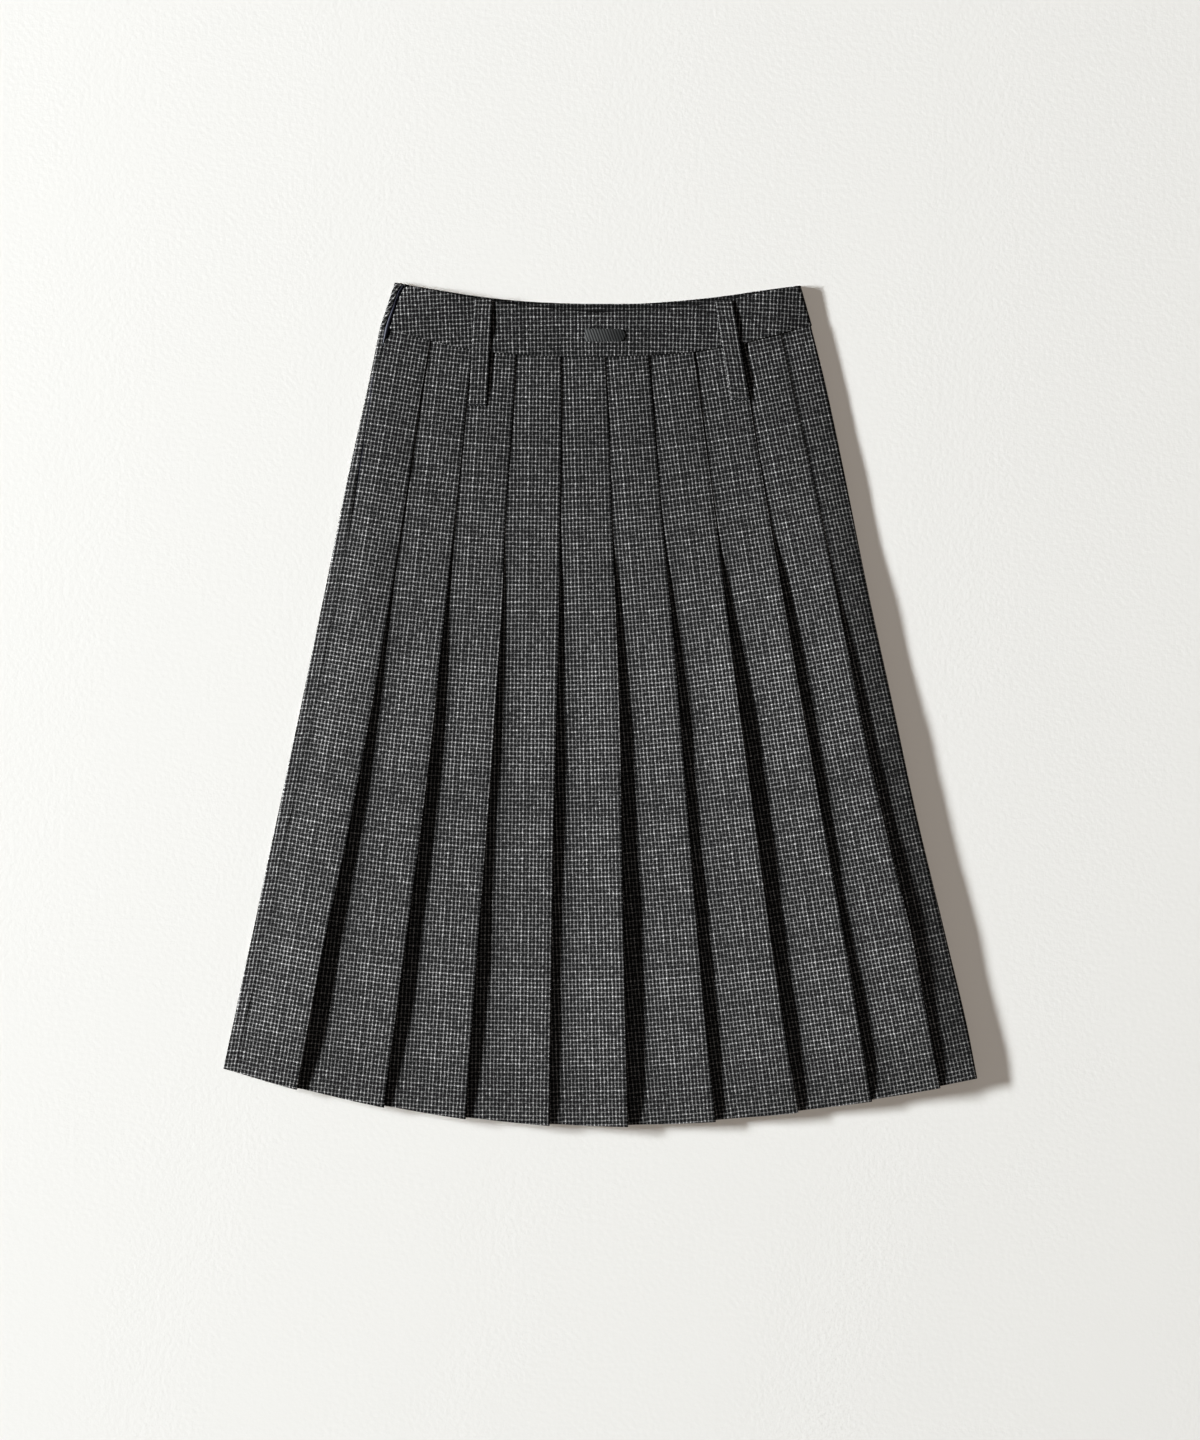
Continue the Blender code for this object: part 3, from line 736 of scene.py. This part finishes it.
def seam_groove(share):
    """How far both edges of the side seam are pulled down by its stitches, in mm."""
    return 1.3 * smooth((share - 0.05) / 0.03) * (1 - smooth((share - 0.22) / 0.10))


def column_list():
    """An empty list of columns, and the function that adds one: (x, z, how much the hem is drawn up there, place
    on the flat cloth for the faces at its left, the same for those at its right). Such a place is (panel, x where
    the walk over the cloth begins, distance walked)."""
    columns = []

    def add(x, z, drawn, panel, anchor=None, run=0.0, then=None):
        here = (panel, x if anchor is None else anchor, run)
        columns.append((x, z, drawn, here, then or here))

    return columns, add


def inner_crease(add, points, fold, anchor):
    """The crease inside a pleat. Half way round it the cloth goes on as the next panel."""
    middle = len(points) // 2
    for number, (x, z) in enumerate(points):
        here, after = (fold, anchor, abs(x - anchor)), (fold + 1, x, 0.0)
        add(x, z, 1.0, *(here if number <= middle else after), after if number == middle else None)


def front_section(share):
    """The front's columns, from the side seam over its ten panels to its end under the right edge."""
    left, right = outline("left", share), outline("right", share)
    ply, wall = layers("ply", share), layers("wall", share)
    radius = ply / 2
    columns, add = column_list()
    for fold in range(PLEATS):
        low = left + zip_seam("front", share) if fold == 0 else fold_edge(fold - 1, share)
        high = fold_edge(fold, share)
        inner = high - pleat_depth(share)
        last = high - radius
        if fold == 0:
            groove = seam_groove(share)
            top = panel_top(fold, share, low, low, high, inner)
            add(low, top - groove, 0.0, fold)
            add(low + 0.7, top - 0.2 * groove, 0.0, fold)
            low += 1.5
        for step in range(PANEL_POINTS):
            x = mix(low, last, (step / PANEL_POINTS) ** PANEL_CROWDING)
            drawn = mix(0.5 if fold else 0.0, -0.5, step / PANEL_POINTS)
            add(x, panel_top(fold, share, x, low, high, inner), drawn, fold)
        crease = panel_top(fold, share, last, low, high, inner)
        for x, z in turn(last, crease - radius, radius, radius, 90, -90, TURN_POINTS):
            add(x, z, -0.5, fold, last, high - x if z < crease - radius else 0.0)
        bottom, after_z = underlay_start(fold, share, low, high, inner), emerging(fold + 1, share)
        for t in (0.25, 0.5, 0.75):
            x = mix(last, inner + radius, t)
            under = mix(after_z, bottom, t)
            wedge = mix(under + ply, panel_top(fold, share, x, low, high, inner) - ply, (1 - t) ** WEDGE_POWER)
            add(x, wedge, mix(-0.5, 1.0, t), fold, last, last - x)
        inner_crease(add, turn(inner + radius, bottom + radius, radius, radius, 90, 270, TURN_POINTS), fold, last)
        for t in (0.4, 0.8):
            add(mix(inner + radius, high, t), mix(bottom, after_z, t), 1.0 - 0.5 * t, fold + 1)
    low, start = fold_edge(PLEATS - 1, share), panel_start(PLEATS, share)
    roll_top = outline("right_roll", share)
    rest = wall / 2 + 0.02
    roll = (roll_top - rest) / 2
    roll_x = right - wall / 2 - EDGE_REACH
    bend = curve(LAST_PANEL["share"], LAST_PANEL["bend"], share)
    for step in range(PANEL_POINTS):
        t = step / PANEL_POINTS
        add(mix(low, roll_x, t), mix(start, roll_top, t ** bend), mix(0.5, 0.0, t), PLEATS)
    rolled = turn(roll_x, rest + roll, EDGE_REACH, roll, 90, -90, ROLL_POINTS)
    for (x, z), run in zip(rolled, walked(rolled)):
        add(x, z, 0.0, PLEATS, roll_x, run)
    for t in (0.5, 1.0):
        add(roll_x - UNDER_RIGHT * t, rest, 0.0, PLEATS, roll_x, walked(rolled)[-1] + UNDER_RIGHT * t)
    return columns


print("columns across the front:", len(front_section(0.5)))


# %% Front panel
HEM_DRAW = 1.6               # a tucked layer's hem is drawn up by so many mm, and a fold's hangs by half as much
# right of the middle the heavy turned-up hem sinks by this share of what lies above so many mm; the right
# corner stays up
HEM_SINK, HEM_SINK_ABOVE = 0.17, 3.5


def hem_sink(x, z, share):
    """How far the front's and the back's hem sinks at this point, in mm."""
    sink = HEM_SINK * smooth((share - 0.968) / 0.032) * smooth((x + 80.0) / 180.0)
    return sink * (1.0 - smooth((x - 262.0) / 40.0)) * max(z - HEM_SINK_ABOVE, 0.0)


def skirt_sheet(name, section, charts, shifts, creases, row_count, rest_height, table):
    """A pleated panel as one sheet of cloth. Its creases start just below the waist seam and leave alone what
    lies lower than rest_height."""
    shares = np.linspace(0.0, 1.0, row_count)
    rows = []
    for share in shares:
        row = []
        near = smooth(share / 0.03)
        for x, z, drawn, on_left, on_right in section(share):
            y = page_height(x, share) + HEM_DRAW * drawn * share
            free = smooth((z - rest_height) / 2.0) * near
            z += free * crease_height(x, y, creases)
            z -= hem_sink(x, z, share)
            charted = [charts[panel](anchor, y, run, shifts[panel]) for panel, anchor, run in (on_left, on_right)]
            row.append((x, y, z, *charted))
        rows.append(row)
    walls = [layers("wall", share, table) for share in shares]
    return cloth_sheet(name, rows, wool, max(walls), [wall / max(walls) for wall in walls])


FRONT_ROWS = 105
front = skirt_sheet("pleated_front", front_section, front_charts, CHART_SHIFTS, CREASES, FRONT_ROWS,
                    rest_height=3.4, table=LAYERS)

# %% [markdown]
# ## Back panel
# The back has the same pleats, folded the other way, and it carries the weight of the skirt, so its
# visible sides lie flat on the floor and its tucked layers lie on top of them, inside. At the left it
# wraps round the edge and meets the front at the side seam, where the zip is.

# %% Back panel
BACK_PANEL_POINTS = 8
BACK_OVERLAP = 8.0           # a panel's columns begin this far beyond the last fold
BACK_LAYERS = {"share": (0.0, 0.925, 0.945, 1.0), "ply": (0.75, 0.9, 1.1, 1.1), "wall": (0.5, 0.6, 0.9, 0.9)}
BACK_CREASES = (
    (-120.0, 60.0, 70.0, 120.0, 12.0, 0.5),
    (-30.0, -140.0, 20.0, 90.0, 12.0, 0.4),
    (60.0, 120.0, -62.0, 110.0, 11.0, 0.5),
    (140.0, -90.0, 30.0, 80.0, 12.0, 0.5),
    (-180.0, -200.0, -15.0, 90.0, 14.0, 0.4),
)


def back_fold(fold, share):
    return mix(outline("right", share), outline("left", share), (fold + 1) / (PLEATS + 1))


# the last chart is the front's first, because the check runs on over the side seam
back_charts = [own_chart(back_fold, fold) for fold in range(PLEATS)] + front_charts[:1]
BACK_SHIFTS = (0.0, 3.1, 1.4, 5.3, 2.2, 4.6, 0.9, 3.8, 2.1, 0.0)


def back_section(share):
    """The back's columns, from under the right edge over its pleats and round the left edge to the side seam."""
    left, right = outline("left", share), outline("right", share)
    ply, rest = layers("ply", share, BACK_LAYERS), layers("wall", share, BACK_LAYERS) / 2
    depth, radius = pleat_depth(share), ply / 2
    columns, add = column_list()
    start = right - layers("wall", share) / 2 - EDGE_REACH - UNDER_RIGHT - 0.1
    for fold in range(PLEATS):
        edge_x = back_fold(fold, share)
        inner = edge_x + depth
        first = edge_x + radius
        began = start if fold == 0 else back_fold(fold - 1, share) - BACK_OVERLAP
        for step in range(BACK_PANEL_POINTS):
            add(mix(began, first, step / BACK_PANEL_POINTS), rest, 0.0, fold)
        for x, z in turn(first, rest + radius, radius, radius, 270, 90, TURN_POINTS):
            add(x, z, 0.0, fold, first, first - x if z > rest + radius else 0.0)
        add(mix(first, inner, 0.5), rest + ply, 1.0, fold, first, mix(first, inner, 0.5) - first)
        inner_crease(add, turn(inner - radius, rest + 3 * radius, radius, radius, -90, 90, TURN_POINTS), fold, first)
        for t in (0.0, 0.35, 0.7):
            add(edge_x - 0.3 - 7.0 * t, rest + 2 * ply * (1 - smooth(t)), 1.0 - t, fold + 1)
    seam_z = outline("left_roll", share)
    roll_top = seam_z - 1.2 * smooth(share / 0.15)
    roll = (roll_top - rest) / 2
    roll_x = left + layers("wall", share) / 2 + roll
    seam_x = max(left + zip_seam("back", share), roll_x + 0.3)
    rolled = turn(roll_x, rest + roll, roll, roll, 270, 90, ROLL_POINTS)
    runs = walked(rolled + [(seam_x, seam_z)])
    began = back_fold(PLEATS - 1, share) - BACK_OVERLAP
    for step in range(BACK_PANEL_POINTS):
        x = mix(began, roll_x, step / BACK_PANEL_POINTS)
        add(x, rest, 0.0, PLEATS, seam_x, -runs[-1] - (x - roll_x))
    for (x, z), run in zip(rolled, runs):
        add(x, z, 0.0, PLEATS, seam_x, run - runs[-1])
    for t, dip in ((0.4, 0.0), (0.85, 0.15), (1.0, 1.0)):
        add(mix(roll_x, seam_x, t), mix(roll_top, seam_z, t) - dip * seam_groove(share), 0.0, PLEATS,
            seam_x, (runs[-2] - runs[-1]) * (1 - t))
    return columns


BACK_ROWS = 70
back = skirt_sheet("pleated_back", back_section, back_charts, BACK_SHIFTS, BACK_CREASES, BACK_ROWS,
                   rest_height=1.0, table=BACK_LAYERS)

# %% [markdown]
# ## Waistbands
# A waistband is two layers of cloth with a stiff layer between, so it is thicker than the skirt and its
# edges are round. It is cut on a curve. The front one rolls round the right edge, the back one round the
# left edge to the zip. They start as the same grid and get a thicker wall, whose rim is beveled.

# %% Waistband sections
BAND = {"wall": 2.0, "front_mid": 7.1, "back_mid": 1.0, "top_left": -175.5, "top_right": 171.5}
BAND_COLUMNS = 96
FRONT_BAND_ROWS = np.linspace(0.0, 1.0, 15)
BACK_BAND_ROWS = np.concatenate([np.linspace(0.0, 0.76, 11), np.linspace(0.80, 0.96, 12), [1.0]])
BAND_ZIP = {"height": (0.0, 0.5, 0.86, 0.94, 1.0), "back": (4.0, 4.8, 5.3, 6.6, 11.9),
            "front": (8.2, 7.6, 8.2, 9.3, 12.0)}
BAND_ROW_SHIFT = 5.4          # the first bright row lies this far above the seam
BAND_ARCH = 2600.0            # the radius of the threads' slight arch, in mm
BAND_UNDER = 4.0              # the front band runs on this far under the right edge
CORNER_DROP, CORNER_WIDTH = 3.0, 46.0
EDGE_FALL, EDGE_FALL_WIDTH = (2.2, 1.2), 26.0    # the front band's fall to the right edge, at its seam and its top


def band_edges(height):
    """Where both edges lie; height runs from 0 at the waist seam to 1 at the top edge."""
    left = mix(outline("left", 0.0), BAND["top_left"], height)
    right = mix(outline("right", 0.0) + 1.0, BAND["top_right"], height)
    return left, right


def band_rows(section, top_line, heights):
    """A section's points are (x, z, run), where run is the distance along the band's curve."""
    rows = []
    for height in heights:
        left, right = band_edges(height)
        row = []
        for x, z, run in section(left, right, height):
            across = 2 * (x - left) / (right - left) - 1
            low = edge("seam", across) + 0.05
            under = min(max((BAND["front_mid"] - z) / (BAND["front_mid"] - BAND["back_mid"]), 0.0), 1.0)
            high = mix(edge(top_line, across), edge("back_top", across), under)
            y = mix(low, high, height)
            up = y - edge("seam", 0.0) + BAND_ARCH
            charted = (BAND_ARCH * math.atan2(run, up), math.hypot(run, up) - BAND_ARCH - BAND_ROW_SHIFT)
            row.append((x, y, z, charted, charted))
        rows.append(row)
    return rows


def corner_drop(x, left, height):
    """The waistband's top left corner is pressed flatter than the rest."""
    return CORNER_DROP * height * smooth((left + CORNER_WIDTH - x) / CORNER_WIDTH)


def band_top(x, left, stop, height):
    """Height of the front waistband's middle: a little uneven, and lower towards both edges."""
    uneven = 0.12 * math.sin(x / 23.0) + 0.10 * math.sin(x / 11.0 + 1.3)
    fall = mix(*EDGE_FALL, height) * smooth((x - stop + EDGE_FALL_WIDTH) / EDGE_FALL_WIDTH)
    return BAND["front_mid"] + uneven - fall - corner_drop(x, left, height)


def front_band_section(left, right, height):
    start = left + curve(BAND_ZIP["height"], BAND_ZIP["front"], height)
    stop = right - BAND["wall"] / 2 - EDGE_REACH
    points = []
    for step in range(BAND_COLUMNS):
        x = mix(start, stop, step / BAND_COLUMNS)
        points.append((x, band_top(x, left, stop, height), x))
    edge_z = band_top(stop, left, stop, height)
    reach = (edge_z - BAND["back_mid"]) / 2
    rolled = turn(stop, BAND["back_mid"] + reach, EDGE_REACH, reach, 90, -90, ROLL_POINTS)
    runs = walked(rolled)
    points += [(x, z, stop + run) for (x, z), run in zip(rolled, runs)]
    for t in (0.5, 1.0):
        points.append((stop - BAND_UNDER * t, BAND["back_mid"], stop + runs[-1] + BAND_UNDER * t))
    return points


def back_band_section(left, right, height):
    start = right - BAND["wall"] / 2 - EDGE_REACH - (BAND_UNDER + 0.1)
    reach = (BAND["front_mid"] - corner_drop(left, left, height) - BAND["back_mid"]) / 2
    stop = left + BAND["wall"] / 2 + EDGE_REACH
    across = [mix(start, stop, step / BAND_COLUMNS) for step in range(BAND_COLUMNS)]
    points = [(x, BAND["back_mid"], x) for x in across]
    rolled = turn(stop, BAND["back_mid"] + reach, EDGE_REACH, reach, 270, 90, ROLL_POINTS)
    runs = walked(rolled)
    points += [(x, z, stop - run) for (x, z), run in zip(rolled, runs)]
    end = max(left + curve(BAND_ZIP["height"], BAND_ZIP["back"], height), stop + 0.3)
    for t in (0.5, 1.0):
        x = mix(stop, end, t)
        points.append((x, BAND["back_mid"] + 2 * reach, stop - runs[-1] - (x - stop)))
    return points


front_band = cloth_sheet("front_waistband", band_rows(front_band_section, "front_top", FRONT_BAND_ROWS), wool,
                         BAND["wall"], rim_mm=0.7)
back_band = cloth_sheet("back_waistband", band_rows(back_band_section, "back_top", BACK_BAND_ROWS), wool,
                        BAND["wall"], rim_mm=0.7)
band_left, band_right = band_edges(0.9)


def painted_gap_shade(vertex):
    """Painted shade on the inner side: a little darker where it lies low and faces up, and nearly black in the narrow
    gap behind the front waistband's edge.
    """
    x, y, z = (value / MM for value in vertex.co)
    above_front = y - edge("front_top", 2 * (x - band_left) / (band_right - band_left) - 1)
    lies_low = 1.0 - smooth((z - 2.6) / 1.2)
    faces_up = smooth(vertex.normal.z / 0.6)
    return lies_low * faces_up * mix(1.0, 0.6, smooth((above_front - 0.5) / 1.1))


def paint(piece, attribute, value_of):
    """Write one number per point, worked out from the point, for the material to read."""
    made = piece.data.attributes.new(attribute, "FLOAT", "POINT")
    made.data.foreach_set("value", [value_of(vertex) for vertex in piece.data.vertices])


# how far the bands, loops and upper pleats are pressed; this also darkens them with painted shade
BAND_NAP_AND_SHADE, LOOP_NAP_AND_SHADE = 1.3, 0.9
HIP, NAP_AND_SHADE_LENGTH = 130.0, 160.0      # above this point of the page the pleats are pressed more and more (mm)
# paint the shade on the back waistband's inner side
paint(back_band, PAINTED_INNER_SHADE, painted_gap_shade)
for band in (front_band, back_band):
    paint(band, NAP_AND_SHADE, lambda vertex: BAND_NAP_AND_SHADE)
paint(front, NAP_AND_SHADE, lambda vertex: smooth((vertex.co.y / MM - HIP) / NAP_AND_SHADE_LENGTH))

# %% [markdown]
# ## Belt loops
# Each loop is a narrow strip with its edges folded in. It starts over the waistband's top edge, passes the
# seam and is sewn down some five centimetres lower. It is a little loose, so it stands off the cloth by about
# a millimetre above the seam and again below it. The strip's middle is a little rounder than its edges.

# %% Belt loops
LOOPS = {
    "left_belt_loop":  {"top": (-106.8, -91.9), "low": (-111.9, -96.9), "low_y": 254.4, "bows": (1.1, 0.9)},
    "right_belt_loop": {"top": (98.2, 112.9),   "low": (112.0, 127.9),  "low_y": 259.6, "bows": (1.0, 1.5)},
}
LOOP_WALL = 0.6
LOOP_DOWN, LOOP_WIDE = 40, 9
LOOP_SEATS = (BAND["front_mid"] + BAND["wall"] / 2, 6.9)    # top of the waistband, and of the skirt at the lower end
LOOP_STEP, LOOP_STEP_LENGTH = 0.42, 0.3          # where the loop comes down from the one to the other, by its length
LOOP_BOWS, LOOP_BOW_WIDTH = (0.22, 0.74), 0.17   # where it stands off the cloth
LOOP_CLEAR, LOOP_ROUND = 0.12, 0.12              # its distance from the cloth, and its extra height in the middle
LOOP_OVER = 0.6                                  # it starts this far over the waistband's top edge
LOOP_CHART = (-0.6, 1.75)                        # how its check is shifted across and down


def loop_rows(size):
    rows = []
    left, right = band_edges(1.0)
    across = (sum(size["top"]) - 2 * left) / (right - left) - 1
    top_y = edge("front_top", across) + LOOP_OVER
    for t in np.linspace(0.0, 1.0, LOOP_DOWN):
        low, high = mix(size["top"][0], size["low"][0], t), mix(size["top"][1], size["low"][1], t)
        y = mix(top_y, size["low_y"], t)
        seat = mix(*LOOP_SEATS, smooth((t - LOOP_STEP) / LOOP_STEP_LENGTH))
        bow = sum(rise * math.exp(-((t - middle) / LOOP_BOW_WIDTH) ** 2)
                  for rise, middle in zip(size["bows"], LOOP_BOWS))
        z = seat + LOOP_WALL / 2 + LOOP_CLEAR + bow
        row = []
        for place_across in np.linspace(0.0, 1.0, LOOP_WIDE):
            x = mix(low, high, place_across)
            round_off = LOOP_ROUND * (1 - (2 * place_across - 1) ** 4)
            charted = (x - low + LOOP_CHART[0], top_y - y + LOOP_CHART[1])
            row.append((x, y, z + round_off, charted, charted))
        rows.append(row)
    return rows[::-1]


loops = {name: cloth_sheet(name, loop_rows(size), wool, LOOP_WALL, rim_mm=0.25) for name, size in LOOPS.items()}
# painted shade: the loops are pressed and darkened like the bands
for loop in loops.values():
    paint(loop, NAP_AND_SHADE, lambda vertex: LOOP_NAP_AND_SHADE)

# %% [markdown]
# ## Bar tacks
# The lower end of each loop is held by a bar tack, a short row of tight stitches in black thread. One stitch
# is a small stretched ball. An Array modifier repeats it across the loop, and the row is applied as one mesh.

# %% Bar tacks
thread, tree, surface = new_material("black_thread", {
    "Base Color": (0.006, 0.006, 0.007, 1.0), "Roughness": 0.6, "Specular IOR Level": 0.2})
STITCH = {"count": 17, "length": 1.5, "thick": 0.75, "above_end": 1.3, "from_side": 0.3, "overlap": 1.15,
          "seat": 0.2}


def bar_tack(name, size):
    """A row of stitches across the loop's lower end, pressed into its surface."""
    low, high = size["low"]
    pitch = (high - low - 2 * STITCH["from_side"]) / STITCH["count"]
    place_of_first = (low + STITCH["from_side"] + pitch / 2, size["low_y"] + STITCH["above_end"],
                      LOOP_SEATS[1] + LOOP_WALL + STITCH["seat"])
    bpy.ops.object.select_all(action="DESELECT")
    bpy.ops.mesh.primitive_uv_sphere_add(segments=10, ring_count=6, radius=0.5)
    row = bpy.context.object
    row.name = row.data.name = name
    row.scale = (pitch * STITCH["overlap"] * MM, STITCH["length"] * MM, STITCH["thick"] * MM)
    bpy.ops.object.transform_apply(location=False, rotation=False, scale=True)
    row.location = Vector(place_of_first) * MM
    bpy.ops.object.transform_apply(location=True, rotation=False, scale=False)
    repeat = row.modifiers.new("across", "ARRAY")
    repeat.count = STITCH["count"]
    repeat.use_relative_offset = False
    repeat.use_constant_offset = True
    repeat.constant_offset_displace = (pitch * MM, 0.0, 0.0)
    bpy.ops.object.modifier_apply(modifier=repeat.name)
    bpy.ops.object.shade_smooth()
    row.data.materials.append(thread)
    return row


tacks = {name: bar_tack(name.replace("belt_loop", "bar_tack"), size) for name, size in LOOPS.items()}
print("made", sorted(tack.name for tack in tacks.values()))

# %% [markdown]
# ## Tab
# A small strip of dark twill is sewn on the front waistband. Its left end is square and its right end is
# round, and it bulges a little, because it is sewn down only round its edge. A flat grid is pulled into the
# outline row by row.

# %% Tab
TAB = {"left": -13.0, "right": 21.5, "low": 309.2, "high": 320.0, "seat": 8.15, "wall": 0.6, "bulge": 1.15}
TAB_ROWS, TAB_COLUMNS = 13, 29
BULGE_LEAN = 0.68            # below 1, the highest place lies left of the middle
# painted shade: the bulging tab falls away from the light to its right, so its right end is painted darker
TAB_SHADE_FROM, TAB_SHADE_LENGTH = -4.0, 26.0      # the twill is darker towards the right end


def tab_rows():
    rows = []
    half = (TAB["high"] - TAB["low"]) / 2
    for off in np.linspace(-half, half, TAB_ROWS):
        stop = TAB["right"] - half + math.sqrt(max(half ** 2 - off ** 2, 0.0))
        row = []
        for t in np.linspace(0.0, 1.0, TAB_COLUMNS):
            x, y = mix(TAB["left"], stop, t), TAB["low"] + half + off
            along = (x - TAB["left"]) / (TAB["right"] - TAB["left"])
            raised = TAB["bulge"] * math.sin(math.pi * along ** BULGE_LEAN) * (1 - 0.5 * (off / half) ** 4)
            row.append((x, y, TAB["seat"] + TAB["wall"] / 2 + raised, (x, y), (x, y)))
        rows.append(row)
    return rows


tab = cloth_sheet("bare_tab", tab_rows(), twill, TAB["wall"], rim_mm=0.2)
# paint the tab's shade, darker towards the right end
paint(tab, NAP_AND_SHADE, lambda vertex: smooth((vertex.co.x / MM - TAB_SHADE_FROM) / TAB_SHADE_LENGTH))

# %% [markdown]
# ## Zip tape
# The side zip is concealed: all that shows is its satin tape in the narrow gap at the top of the side
# seam. The tape runs on under both edges of the seam, a little below them.

# %% Zip tape
TAPE = {"mid": 5.3, "ridge": 2.6, "slope": 1.3, "wall": 0.5, "under_back": 1.0, "under_front": 3.4,
        "top_height": 0.95, "bottom_share": 0.30, "below_edge": 0.65}
TAPE_ROWS, TAPE_COLUMNS = 36, 17
BAND_PART = 0.17              # this part of the tape lies in the waistband, the rest in the skirt's side seam


def tape_rows():
    rows = []
    for t in np.linspace(0.0, 1.0, TAPE_ROWS):
        if t < BAND_PART:
            height = mix(TAPE["top_height"], 0.0, t / BAND_PART)
            left = band_edges(height)[0]
            low = left + curve(BAND_ZIP["height"], BAND_ZIP["back"], height) - TAPE["under_back"]
            high = left + curve(BAND_ZIP["height"], BAND_ZIP["front"], height) + TAPE["under_front"]
            y = mix(edge("seam", -1.0), edge("back_top", -1.0), height)
            z = TAPE["mid"] - corner_drop(left, left, height)
        else:
            share = mix(0.0, TAPE["bottom_share"], (t - BAND_PART) / (1.0 - BAND_PART))
            left = outline("left", share)
            low = left + zip_seam("back", share) - TAPE["under_back"]
            high = left + zip_seam("front", share) + TAPE["under_front"]
            y = page_height(low, share)
            z = min(TAPE["mid"], outline("left_roll", share) - TAPE["below_edge"])
        gap = (low + TAPE["under_back"], high - TAPE["under_front"])
        row = []
        for place_across in np.linspace(0.0, 1.0, TAPE_COLUMNS):
            x = mix(low, high, place_across)
            beside = min(abs(x - gap[0]), abs(x - gap[1])) if gap[0] < x < gap[1] else 0.0
            charted = (x - low, y)
            row.append((x, y, z + TAPE["ridge"] * smooth(beside / TAPE["slope"]), charted, charted))
        rows.append(row)
    return rows[::-1]


tape = cloth_sheet("satin_zip_tape", tape_rows(), satin, TAPE["wall"])

# %% [markdown]
# ## Floor
# The garment lies on a pale, slightly rough floor. It isn't part of the object.
# Only this floor receives the soft light, and nothing else blocks it.

# %% Floor
bpy.ops.object.select_all(action="DESELECT")
bpy.ops.mesh.primitive_plane_add(size=12.0, location=(0.0, 0.0, -0.0002))
floor = bpy.context.object
floor.name = floor.data.name = "floor"
plaster, tree, surface = new_material("pale_floor", {
    "Base Color": (0.80, 0.789, 0.768, 1.0), "Roughness": 0.9, "Specular IOR Level": 0.2})
spot = node(tree, "ShaderNodeTexCoord").outputs["Object"]
grain = noise(tree, spot, 230.0, 3.0, 0.6)
broad = noise(tree, spot, 2.5)
relief(tree, surface, scaled(tree, broad, 0.6, grain), 0.36, 0.0005)
floor.data.materials.append(plaster)
lit_by_soft_top = bpy.data.collections.new("lit_by_soft_top")
lit_by_soft_top.objects.link(floor)
soft_top.light_linking.receiver_collection = lit_by_soft_top
soft_top.light_linking.blocker_collection = lit_by_soft_top

# %% [markdown]
# ## Hand-over
# Every piece rides on the skirt's only body, and the solid that it stands for is hidden.

# %% Hand-over
for piece, solid, finish in (
        (front, "skirt_front", "checked_wool"), (back, "skirt_back", "checked_wool"),
        (front_band, "waistband_front", "checked_wool"), (back_band, "waistband_back", "checked_wool"),
        (loops["left_belt_loop"], "belt_loop_left", "checked_wool"),
        (loops["right_belt_loop"], "belt_loop_right", "checked_wool"),
        (tacks["left_belt_loop"], "belt_loop_left", "checked_wool"),
        (tacks["right_belt_loop"], "belt_loop_right", "checked_wool"),
        (tab, "waist_tab", "tab_cloth"), (tape, "zip_tape", "zip_satin")):
    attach(piece, "root")
    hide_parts(solid)
